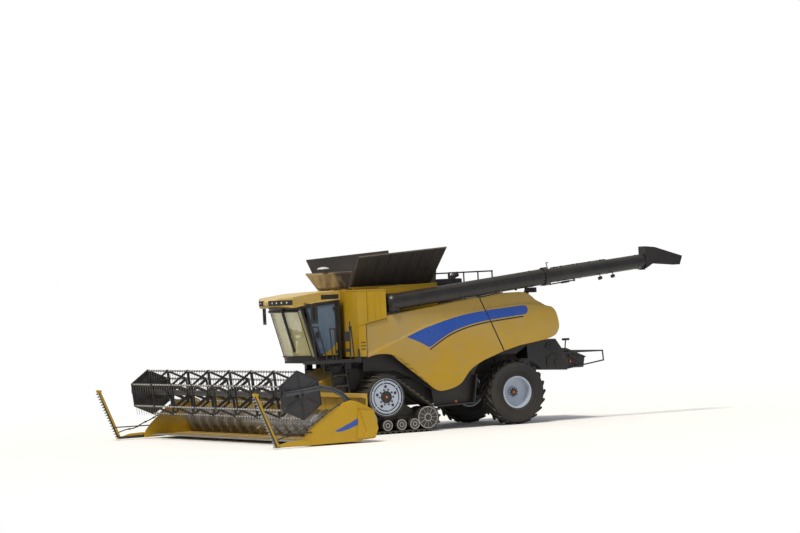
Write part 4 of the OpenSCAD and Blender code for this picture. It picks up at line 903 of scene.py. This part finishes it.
cushions = (
    cushion("seat_cushion", (1.005, -0.235, 2.325), (1.445, 0.235, 2.430), 2, 4),
    cushion("seat_backrest", (0.905, -0.225, 2.425), (1.010, 0.225, 2.93), 0, 4),
    cushion("seat_headrest", (0.91, -0.13, 2.88), (0.995, 0.13, 3.0), 0, 2),
)
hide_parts("cab_seat")
mount = bmesh.new()
brick(mount, (1.05, -0.17, 2.06), (1.40, 0.17, 2.335))
brick(mount, (1.00, -0.24, 1.921), (1.45, 0.24, 2.05))
for z in (2.10, 2.15, 2.20, 2.25):
    brick(mount, (1.035, -0.185, z), (1.415, 0.185, z + 0.022))
brick(mount, (0.93, -0.03, 2.30), (0.985, 0.03, 2.90))
brick(mount, (1.10, -0.40, 2.20), (1.20, -0.169, 2.30))
brick(mount, (1.10, -0.40, 2.299), (1.20, -0.30, 2.482))
brick(mount, (1.05, -0.42, 2.48), (1.50, -0.30, 2.555))
for k in range(4):
    bar(mount, (1.36 + 0.03 * k, -0.34, 2.552), (1.36 + 0.03 * k, -0.34, 2.560), 0.010, 10)
bar(mount, (1.30, -0.36, 2.55), (1.33, -0.36, 2.62), 0.022, 12, 0.016)
piece("seat_pedestal", mount, "root", plastic, bevel=0.006)


# The platform's edge, grips and bolts, and the ladder's step plates and treads: black sheet with a
# pressed grip.

walk = bmesh.new()
brick(walk, (0.61, 1.682, 1.850), (0.78, 1.700, 1.89))
brick(walk, (1.42, 1.682, 1.850), (1.47, 1.700, 1.89))
for k in range(9):
    brick(walk, (0.64 + 0.13 * k, 1.02, 1.850), (0.70 + 0.13 * k, 1.62, 1.858))
    pin(walk, (0.66 + 0.13 * k, 1.82), 1.7, 1.706, 0.012, 8)
piece("platform_grips", walk, "root", frame_grey, bevel=0.002)

LOWEST_RUNG, RUNG_PITCH, LADDER_SLOPE = 0.70, 0.26, 0.3125
steps = bmesh.new()
for k in range(4):
    z = LOWEST_RUNG + RUNG_PITCH * k
    y = 1.65 - (z - LOWEST_RUNG) * LADDER_SLOPE
    brick(steps, (0.936, y - 0.088, z + 0.028), (1.279, y - 0.076, z + 0.235))
    for n in range(7):
        brick(steps, (0.955 + 0.045 * n, y - 0.06, z + 0.029), (0.972 + 0.045 * n, y + 0.10, z + 0.036))
piece("ladder_risers", steps, "ladder", frame_grey, bevel=0.002)


# The tank's front leaf: canvas stretched on a tube frame, with eyelets along its top. A pale domed
# receiver stands on a bracket on its top edge.

FLAP_HINGE, FLAP_LEAN = (0.465, 3.565), math.radians(14)
ROWS, COLUMNS = 8, 32


def on_flap(y, up, out):
    """A point on the front leaf, up its slope and out of its face."""
    return (FLAP_HINGE[0] + math.sin(FLAP_LEAN) * up + math.cos(FLAP_LEAN) * out, y,
            FLAP_HINGE[1] + math.cos(FLAP_LEAN) * up - math.sin(FLAP_LEAN) * out)


flap = bmesh.new()
grid = []
for row in range(ROWS + 1):
    up = 0.012 + 0.406 * row / ROWS
    half = 0.85 + 0.43 * row / ROWS
    line = []
    for column in range(COLUMNS + 1):
        t = column / COLUMNS * 2 - 1
        slack = (1 - t ** 6) * (1 - (2 * row / ROWS - 1) ** 2)
        sag = 0.010 * slack + 0.003 * math.sin(column * 2.2 + row * 0.7)
        line.append(flap.verts.new(place(*on_flap(t * half, up, -sag))))
    grid.append(line)
for low, high in zip(grid, grid[1:]):
    for k in range(COLUMNS):
        flap.faces.new((low[k], low[k + 1], high[k + 1], high[k]))
front_canvas = piece("tank_front_canvas", flap, "screen_front", canvas, crease=180)
cloth = front_canvas.modifiers.new("cloth", "SOLIDIFY")
cloth.thickness = 0.003
cloth.offset = 0
flap_frame = bmesh.new()
for foot, head in ((-0.86, -1.29), (-0.45, -0.62), (0.45, 0.62), (0.86, 1.29)):
    bar(flap_frame, on_flap(foot, 0.005, -0.014), on_flap(head, 0.42, -0.014), 0.011, 8)
for half, up in ((0.86, 0.005), (1.29, 0.42)):
    bar(flap_frame, on_flap(-half, up, -0.014), on_flap(half, up, -0.014), 0.011, 8)
for k in range(22):
    y = -1.22 + 0.116 * k
    bar(flap_frame, on_flap(y, 0.395, -0.003), on_flap(y, 0.395, 0.004), 0.010, 8)
brick(flap_frame, (0.555, -0.16, 3.96), (0.580, -0.10, 4.02))
bar(flap_frame, (0.568, -0.13, 4.0), (0.62, -0.13, 4.052), 0.014, 10)
flap_tubes = piece("tank_front_frame", flap_frame, "screen_front", leaf_edge)
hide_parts("screen_front")

dome = bmesh.new()
bmesh.ops.create_uvsphere(dome, u_segments=32, v_segments=16, radius=1)
bmesh.ops.bisect_plane(dome, geom=whole(dome), plane_co=(0, 0, 0), plane_no=(0, 0, 1), clear_inner=True)
bmesh.ops.holes_fill(dome, edges=[edge for edge in dome.edges if edge.is_boundary])
bmesh.ops.scale(dome, vec=(0.15, 0.15, 0.058), verts=dome.verts)
bmesh.ops.translate(dome, vec=place(0.63, -0.13, 4.068), verts=dome.verts)
white_shell = dusted("white_moulding", (0.62, 0.63, 0.62), 0.10, 0.3)
piece("receiver_dome", dome, "screen_front", white_shell)
saucer = bmesh.new()
bar(saucer, (0.63, -0.13, 4.048), (0.63, -0.13, 4.070), 0.125, 32, 0.155)
piece("receiver_base", saucer, "screen_front", plastic, bevel=0.004)


# The header's ends: a pressed yellow plate with a rolled edge on each side, a raised box behind
# it, a plain blue film, and the steel pipe that feeds the side knife, clamped along its top.

paint_node(yellow, "header_ends")
end_outline = [(3.70, 0.03), (3.66, 0.19), (3.49, 0.385), (3.22, 0.605), (2.96, 0.79), (2.70, 0.915),
               (2.44, 0.985), (2.30, 0.965), (2.255, 0.86), (2.17, 0.58), (2.09, 0.26), (2.19, 0.05)]
box_outline = [(2.225, 0.76), (1.865, 0.735), (1.772, 0.32), (1.85, 0.122), (2.15, 0.112), (2.065, 0.27)]
END_FACE, BOX_FACE = 4.678, 4.745
ends = bmesh.new()
plate(ends, end_outline, 4.658, END_FACE)
plate(ends, box_outline, 4.70, BOX_FACE)
for bolt in ((3.55, 0.13), (2.60, 0.12), (2.55, 0.86), (3.05, 0.64)):
    pin(ends, bolt, END_FACE - 0.003, END_FACE + 0.008, 0.018, 6)
for bolt in ((1.93, 0.24), (1.95, 0.66), (2.14, 0.66)):
    pin(ends, bolt, BOX_FACE - 0.015, BOX_FACE - 0.004, 0.014, 6)
bent(ends, [(x, 4.652, z) for x, z in end_outline[:8]], 0.016, 10)
twin(ends)
piece("header_end_pressings", ends, "header", yellow, bevel=0.009)

# A black strip along the front edge of the raised box on each end: a painted shadow line where the box
# stands out from the end plate.
groove = bmesh.new()
plate(groove, [(2.240, 0.80), (2.228, 0.80), (2.068, 0.27), (2.155, 0.09), (2.172, 0.09), (2.084, 0.27)],
      END_FACE - 0.0005, END_FACE + 0.022)
twin(groove)
piece("header_end_shadow_line", groove, "header", black)

patch = bmesh.new()
sheet(patch, [(2.86, 0.325), (2.72, 0.375), (2.45, 0.49), (2.205, 0.605), (2.18, 0.56), (2.20, 0.46),
              (2.30, 0.415), (2.50, 0.345), (2.70, 0.300), (2.80, 0.297)], END_FACE + 0.0005, 0.2)
thicken(patch, (0, 0.0012, 0))
twin(patch)
piece("header_end_film", patch, "header", blue)

pipes = bmesh.new()
run = curve([(4.38, 4.715, 0.20), (4.16, 4.70, 0.262), (3.95, 4.69, 0.285), (3.71, 4.686, 0.40),
             (3.50, 4.686, 0.475), (3.24, 4.686, 0.61), (3.02, 4.686, 0.76), (2.80, 4.680, 0.885),
             (2.62, 4.64, 0.95)], 3)
bent(pipes, run, 0.015, 8)
for x, y, z in run[4:23:3]:
    pin(pipes, (x, z), 4.662, y + 0.018, 0.024, 8)
twin(pipes)
piece("side_knife_pipe", pipes, "header", black)


# The side knives: an upright cutter on each end, a yellow channel behind toothed steel blades,
# standing on the pointed crop divider.

paint_node(black, "side_knives")
knives = bmesh.new()
plate(knives, [(4.315, 0.05), (4.362, 0.05), (4.862, 1.245), (4.806, 1.245)], 4.716, 4.756)
plate(knives, [(4.795, 1.225), (4.90, 1.225), (4.93, 1.275), (4.90, 1.305), (4.775, 1.285)], 4.708, 4.760)
plate(knives, [(3.52, 0.034), (3.545, 0.135), (3.72, 0.165), (4.08, 0.150), (4.45, 0.052), (4.45, 0.034)],
      4.664, 4.742)
twin(knives)
piece("side_knife_channels", knives, "header", yellow, bevel=0.004)
BLADES, KNIFE_RUN, KNIFE_RISE = 17, 0.49, 1.17
blades = bmesh.new()
for k in range(BLADES):
    t = (k + 0.5) / BLADES
    x, z = 4.40 + KNIFE_RUN * t, 0.06 + KNIFE_RISE * t
    plate(blades, [(x - 0.012, z - 0.022), (x + 0.070, z - 0.012), (x + 0.012, z + 0.034)], 4.734, 4.741)
for t in (0.15, 0.4, 0.65, 0.9):
    pin(blades, (4.345 + KNIFE_RUN * t, 0.06 + KNIFE_RISE * t), 4.755, 4.764, 0.016, 6)
twin(blades)
piece("side_knife_blades", blades, "header", steel)


# The cutter bar: forged guards every three inches under the knife, and the auger behind it, a
# steel tube with flights of worn plate and folding fingers at its middle.

paint_node(steel, "cutter_bar", "intake_auger", "lift_rods")
GUARD_PITCH = 0.0762
guards = bmesh.new()
for k in range(120):
    y = -4.53 + GUARD_PITCH * k
    bar(guards, (3.42, y, 0.100), (3.555, y, 0.096), 0.015, 5, 0.004)
piece("knife_guards", guards, "header", steel)
AUGER_HUB = (2.38, 0.452)
fingers = bmesh.new()
for k in range(14):
    spokes(fingers, AUGER_HUB, 0, 0.325, 1, 137 * k, -0.62 + 0.095 * k, 0.009, 8)
piece("auger_fingers", fingers, "intake_auger", steel)
back_ribs = bmesh.new()
for k in range(15):
    y = -4.2 + 0.6 * k
    if abs(y) > 0.8:
        brick(back_ribs, (1.984, y - 0.025, 0.33), (1.998, y + 0.025, 1.0))
for z in (0.62, 0.66):
    for y in (-4.58, 0.78):
        brick(back_ribs, (1.984, y, z), (1.994, y + 3.80, z + 0.012))
piece("header_back_ribs", back_ribs, "header", dusty_yellow, bevel=0.004)


# The reel: six tubes of spring tines carried by eight spiders of flat bar on a central tube, with
# a pressed six-sided shield at each end.

galvanised = dusted("galvanised_tube", (0.60, 0.58, 0.54), 0.14, 0.36, metallic=0.5, grain=90)
tine_steel = dusted("tine_steel", (0.13, 0.12, 0.11), 0.15, 0.45, metallic=0.4)
dark_bar = dusted("spider_enamel", (0.016, 0.016, 0.018), 0.06, 0.5)
shield_blue = dusted("shield_enamel", (0.024, 0.027, 0.036), 0.12, 0.45)
REEL_HUB, BAT_CIRCLE, REEL_TURN = (3.57, 1.18), 0.545, 24
bats = [spot_on(REEL_HUB, BAT_CIRCLE, REEL_TURN + 60 * k) for k in range(6)]

tubes = bmesh.new()
for bat in bats:
    pin(tubes, bat, -4.415, 4.415, 0.018)
reel_tubes = piece("reel_tubes", tubes, "reel", galvanised)

TINE_PITCH = 0.15
tines = bmesh.new()
for x, z in bats:
    for k in range(58):
        y = -4.275 + TINE_PITCH * k
        pin(tines, (x, z), y - 0.02, y + 0.02, 0.027, 6)
        bar(tines, (x + 0.018, y, z), (x + 0.022, y, z - 0.11), 0.0065, 4, 0.006)
        bar(tines, (x + 0.022, y, z - 0.105), (x + 0.004, y, z - 0.24), 0.006, 4, 0.0035)
piece("reel_tines", tines, "reel", tine_steel)


def strap(shape, start, end, y, half):
    """A flat bar between two points of a spider's plane."""
    (x0, z0), (x1, z1) = start, end
    run = Vector((x1 - x0, z1 - z0)).normalized() * half
    plate(shape, [(x0 - run.y, z0 + run.x), (x1 - run.y, z1 + run.x), (x1 + run.y, z1 - run.x),
                  (x0 + run.y, z0 - run.x)], y - 0.005, y + 0.005)


SPIDERS, OUTERMOST = 8, 4.39
spiders = bmesh.new()
pin(spiders, REEL_HUB, -4.40, 4.40, 0.070, 24)
for k in range(SPIDERS):
    y = OUTERMOST * (2 * k / (SPIDERS - 1) - 1)
    pin(spiders, REEL_HUB, y - 0.014, y + 0.014, 0.135, 24)
    for bat, following in zip(bats, bats[1:] + bats[:1]):
        strap(spiders, REEL_HUB, bat, y + 0.006, 0.036)
        strap(spiders, bat, following, y - 0.006, 0.027)
        pin(spiders, bat, y - 0.02, y + 0.02, 0.036)
piece("reel_spiders", spiders, "reel", dark_bar)

SHIELD_CIRCLE = 0.568
outer = [spot_on(REEL_HUB, SHIELD_CIRCLE, REEL_TURN + 60 * k) for k in range(6)]
shields = bmesh.new()
rims = bmesh.new()
for hand in (1, -1):
    y = hand * 4.414
    out = hand * 0.010
    plate(shields, outer, y - 0.008, y + 0.008)
    for k in range(6):
        wedge = [spot_on(REEL_HUB, radius, REEL_TURN + 60 * k + angle)
                 for radius, angle in ((0.15, 12), (0.15, 48), (0.475, 54.5), (0.475, 5.5))]
        plate(shields, wedge, y + out * 0.5, y + out * 1.5)
        (x0, z0), (x1, z1) = outer[k], outer[(k + 1) % 6]
        bar(rims, (x0, y + out, z0), (x1, y + out, z1), 0.013, 8)
    spokes(rims, REEL_HUB, 0, SHIELD_CIRCLE, 6, REEL_TURN, y + out * 0.8, 0.012, 6)
    ring(rims, REEL_HUB, y - 0.018, 0.045, 0.14, 0.036, 32)
    pins(rims, REEL_HUB, 0.11, 6, 0, y, y + out * 2.4, 0.013, 6)
pin(shields, REEL_HUB, -4.52, 4.52, 0.030, 20)
piece("reel_shields", shields, "reel", shield_blue, bevel=0.004)
piece("reel_shield_ridges", rims, "reel", black)
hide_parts("reel")


# The reel's arms: pressed box arms in dark enamel, bent down to the header's back, each with a
# steel pipe clamped along it and a bearing at the reel's shaft.

arm_blue = dusted("arm_enamel", (0.075, 0.084, 0.105), 0.12, 0.42)
paint_node(arm_blue, "reel_arms")
ARM_FACE = 4.545
fittings = bmesh.new()
run = [(3.95, 1.26), (3.57, 1.285), (3.10, 1.345), (2.80, 1.285), (2.56, 1.165), (2.36, 0.99)]
bent(fittings, [(x, ARM_FACE, z) for x, z in run], 0.011, 8)
for clip in run[:5]:
    pin(fittings, clip, ARM_FACE - 0.011, ARM_FACE + 0.015, 0.022, 8)
ring(fittings, REEL_HUB, ARM_FACE - 0.010, 0.034, 0.062, 0.016, 32)
pins(fittings, REEL_HUB, 0.05, 4, 45, ARM_FACE + 0.005, ARM_FACE + 0.013, 0.008, 6)
brick(fittings, (3.99, 4.47, 1.165), (4.045, ARM_FACE, 1.285))
twin(fittings)
piece("reel_arm_fittings", fittings, "reel_arms", black, bevel=0.002)


# The unloading tube: rolled black plate in two lengths with clamp bands, hinge flanges, hose
# clips along its top and two lamps beneath, ending in a bent spout with a rubber skirt.

tube_black = dusted("tube_enamel", (0.010, 0.009, 0.010), 0.07, 0.36, grain=90)
paint_node(tube_black, "auger_inner", "auger_outer", "auger_spout", "auger_turret")
FLANGE = Vector((-4.60, 1.6625, 3.630))
INNER = Vector((-0.42, 1.48, 3.19)), FLANGE
OUTER = FLANGE, Vector((-7.45, 1.6625, 3.899))


def along(part, t, up=0.0, side=0.0):
    """A point beside a length of the tube, t of the way along it."""
    start, end = part
    return start.lerp(end, t) + Vector((0, side, up))


def lay(shape, part, t0, t1, radius, sides, up=0.0, side=0.0):
    """A round bar laid along a length of the tube, round it or beside it."""
    bar(shape, along(part, t0, up, side), along(part, t1, up, side), radius, sides)


bands = bmesh.new()
for t in (0.055, 0.16, 0.42, 0.66, 0.90):
    lay(bands, INNER, t, t + 0.008, 0.206, 40)
for t in (0.30, 0.55, 0.80):
    lay(bands, INNER, t, t + 0.012, 0.018, 10, -0.21)
lay(bands, INNER, 0.17, 0.985, 0.010, 8, 0.10, 0.178)
for t in (0.2, 0.35, 0.5, 0.65, 0.8, 0.95):
    lay(bands, INNER, t, t + 0.006, 0.020, 8, 0.10, 0.178)
for k in range(12):
    side, up = spot_on((0, 0), 0.21, 30 * k)
    lay(bands, INNER, 0.972, 0.9995, 0.011, 6, up, side)
piece("auger_inner_bands", bands, "auger_inner", tube_black, bevel=0.002)

LAMP_SPOTS = 0.55, 0.68
bands = bmesh.new()
for t in (0.12, 0.34, 0.62, 0.93):
    lay(bands, OUTER, t, t + 0.010, 0.184, 40)
lay(bands, OUTER, 0.06, 0.62, 0.010, 8, 0.19)
for t in (0.10, 0.17, 0.29, 0.33, 0.46, 0.57):
    bar(bands, along(OUTER, t, 0.17), along(OUTER, t, 0.205), 0.020, 8)
hose = [along(OUTER, 0.03, 0.20, 0.02), along(OUTER, 0.015, 0.33, 0.03), along(OUTER, 0.035, 0.335, 0.03)]
bent(bands, hose, 0.012, 8)
bar(bands, along(OUTER, 0.045, -0.215, 0.05), along(OUTER, 0.30, -0.205, 0.03), 0.016, 10)
bar(bands, along(OUTER, 0.16, -0.215, 0.04), along(OUTER, 0.24, -0.212, 0.03), 0.028, 12)
for t in (0.045, 0.29):
    bar(bands, along(OUTER, t, -0.15, 0.04), along(OUTER, t, -0.235, 0.04), 0.022, 8)
for t in LAMP_SPOTS:
    rear, front = along(OUTER, t + 0.014, -0.25, 0.06), along(OUTER, t - 0.014, -0.262, 0.06)
    bar(bands, along(OUTER, t, -0.17, 0.06), along(OUTER, t, -0.235, 0.06), 0.012, 8)
    bar(bands, front, rear, 0.042, 16)
piece("auger_outer_bands", bands, "auger_outer", tube_black, bevel=0.002)
beneath = bmesh.new()
for t in LAMP_SPOTS:
    bar(beneath, along(OUTER, t + 0.012, -0.251, 0.06), along(OUTER, t + 0.018, -0.249, 0.06), 0.036, 16)
piece("auger_lamps", beneath, "auger_outer", lens_coat)


# The engine deck and the tail: slatted screens, an air intake, the exhaust, lamps on posts, and the
# plates beside the chopper and the rear axle's rails.

deck = bmesh.new()
for k in range(9):
    brick(deck, (-2.96 + 0.095 * k, 0.300, 3.20), (-2.90 + 0.095 * k, 0.308, 3.60))
for k in range(8):
    brick(deck, (-2.98 + 0.11 * k, -0.95, 3.680), (-2.93 + 0.11 * k, 0.25, 3.690))
bar(deck, (-2.55, 0.60, 3.13), (-2.55, 0.60, 3.52), 0.13, 32)
bar(deck, (-2.55, 0.60, 3.50), (-2.55, 0.60, 3.56), 0.17, 32, 0.14)
bar(deck, (-3.20, -0.55, 3.10), (-3.20, -0.55, 3.66), 0.075, 24)
bent(deck, [(-3.20, -0.55, 3.62), (-3.20, -0.55, 3.74), (-3.34, -0.55, 3.80)], 0.068, 16)
for k in range(5):
    brick(deck, (-3.86 + 0.11 * k, -0.9, 3.225), (-3.80 + 0.11 * k, 0.9, 3.25))
piece("engine_deck_parts", deck, "root", black, bevel=0.003)

screen = bmesh.new()
bar(screen, (-2.22, 1.00, 3.27), (-2.22, 1.045, 3.275), 0.105, 32)
for k in range(5):
    bar(screen, (-2.30 + 0.04 * k, 1.046, 3.20), (-2.30 + 0.04 * k, 1.046, 3.34), 0.006, 6)
piece("air_screen", screen, "root", wheel_white, bevel=0.003)
screen_leg = bmesh.new()
brick(screen_leg, (-2.30, 0.90, 3.10), (-2.14, 1.002, 3.36))
piece("air_screen_box", screen_leg, "root", black, bevel=0.006)

posts = bmesh.new()
bent(posts, [(-5.20, 1.10, 1.86), (-5.40, 1.12, 1.76), (-5.43, 1.12, 2.00)], 0.016, 8)
brick(posts, (-5.50, 1.06, 2.00), (-5.36, 1.20, 2.055))
for x0, z0, x1, z1 in ((-5.44, 1.78, -5.90, 1.60), (-5.54, 1.61, -5.83, 1.49), (-5.54, 1.49, -5.79, 1.39)):
    bar(posts, (x0, 1.05, z0), (x1, 1.05, z1), 0.022, 8)
twin(posts)
for z in (1.42, 1.50, 1.58):
    pin(posts, (-5.60, z), -1.0, 1.0, 0.010, 6)
piece("tail_lamp_posts", posts, "root", black)
CHOPPER_SIDE = 1.10
covers = bmesh.new()
plate(covers, [(-4.86, 1.60), (-4.86, 1.36), (-5.32, 1.31), (-5.42, 1.42), (-5.36, 1.52), (-5.05, 1.70)],
      CHOPPER_SIDE, CHOPPER_SIDE + 0.018)
plate(covers, [(-4.90, 1.98), (-4.84, 1.86), (-5.26, 1.62), (-5.36, 1.64), (-5.34, 1.74), (-5.12, 2.00)],
      CHOPPER_SIDE, CHOPPER_SIDE + 0.024)
pin(covers, (-5.16, 1.47), CHOPPER_SIDE, CHOPPER_SIDE + 0.035, 0.085, 24)
pin(covers, (-5.02, 1.88), CHOPPER_SIDE, CHOPPER_SIDE + 0.040, 0.060, 24)
for bolt in ((-4.92, 1.42), (-4.92, 1.56), (-5.34, 1.40), (-5.10, 1.64)):
    pin(covers, bolt, CHOPPER_SIDE + 0.017, CHOPPER_SIDE + 0.026, 0.014, 6)
twin(covers)
piece("chopper_side_covers", covers, "root", plastic, bevel=0.006)
rear_sides = bmesh.new()
plate(rear_sides, [(-3.05, 1.36), (-3.05, 1.98), (-4.40, 2.05), (-4.40, 1.36)], 0.54, 0.55)
for x in (-3.30, -3.70, -4.10):
    brick(rear_sides, (x - 0.02, 0.549, 1.52), (x + 0.02, 0.565, 1.96))
twin(rear_sides)
piece("rear_side_plates", rear_sides, "root", frame_grey, bevel=0.003)

tail_lamps = bmesh.new()
bar(tail_lamps, (-5.545, 1.06, 1.47), (-5.575, 1.06, 1.47), 0.035, 20)
twin(tail_lamps)
piece("tail_lamps", tail_lamps, "root", orange)
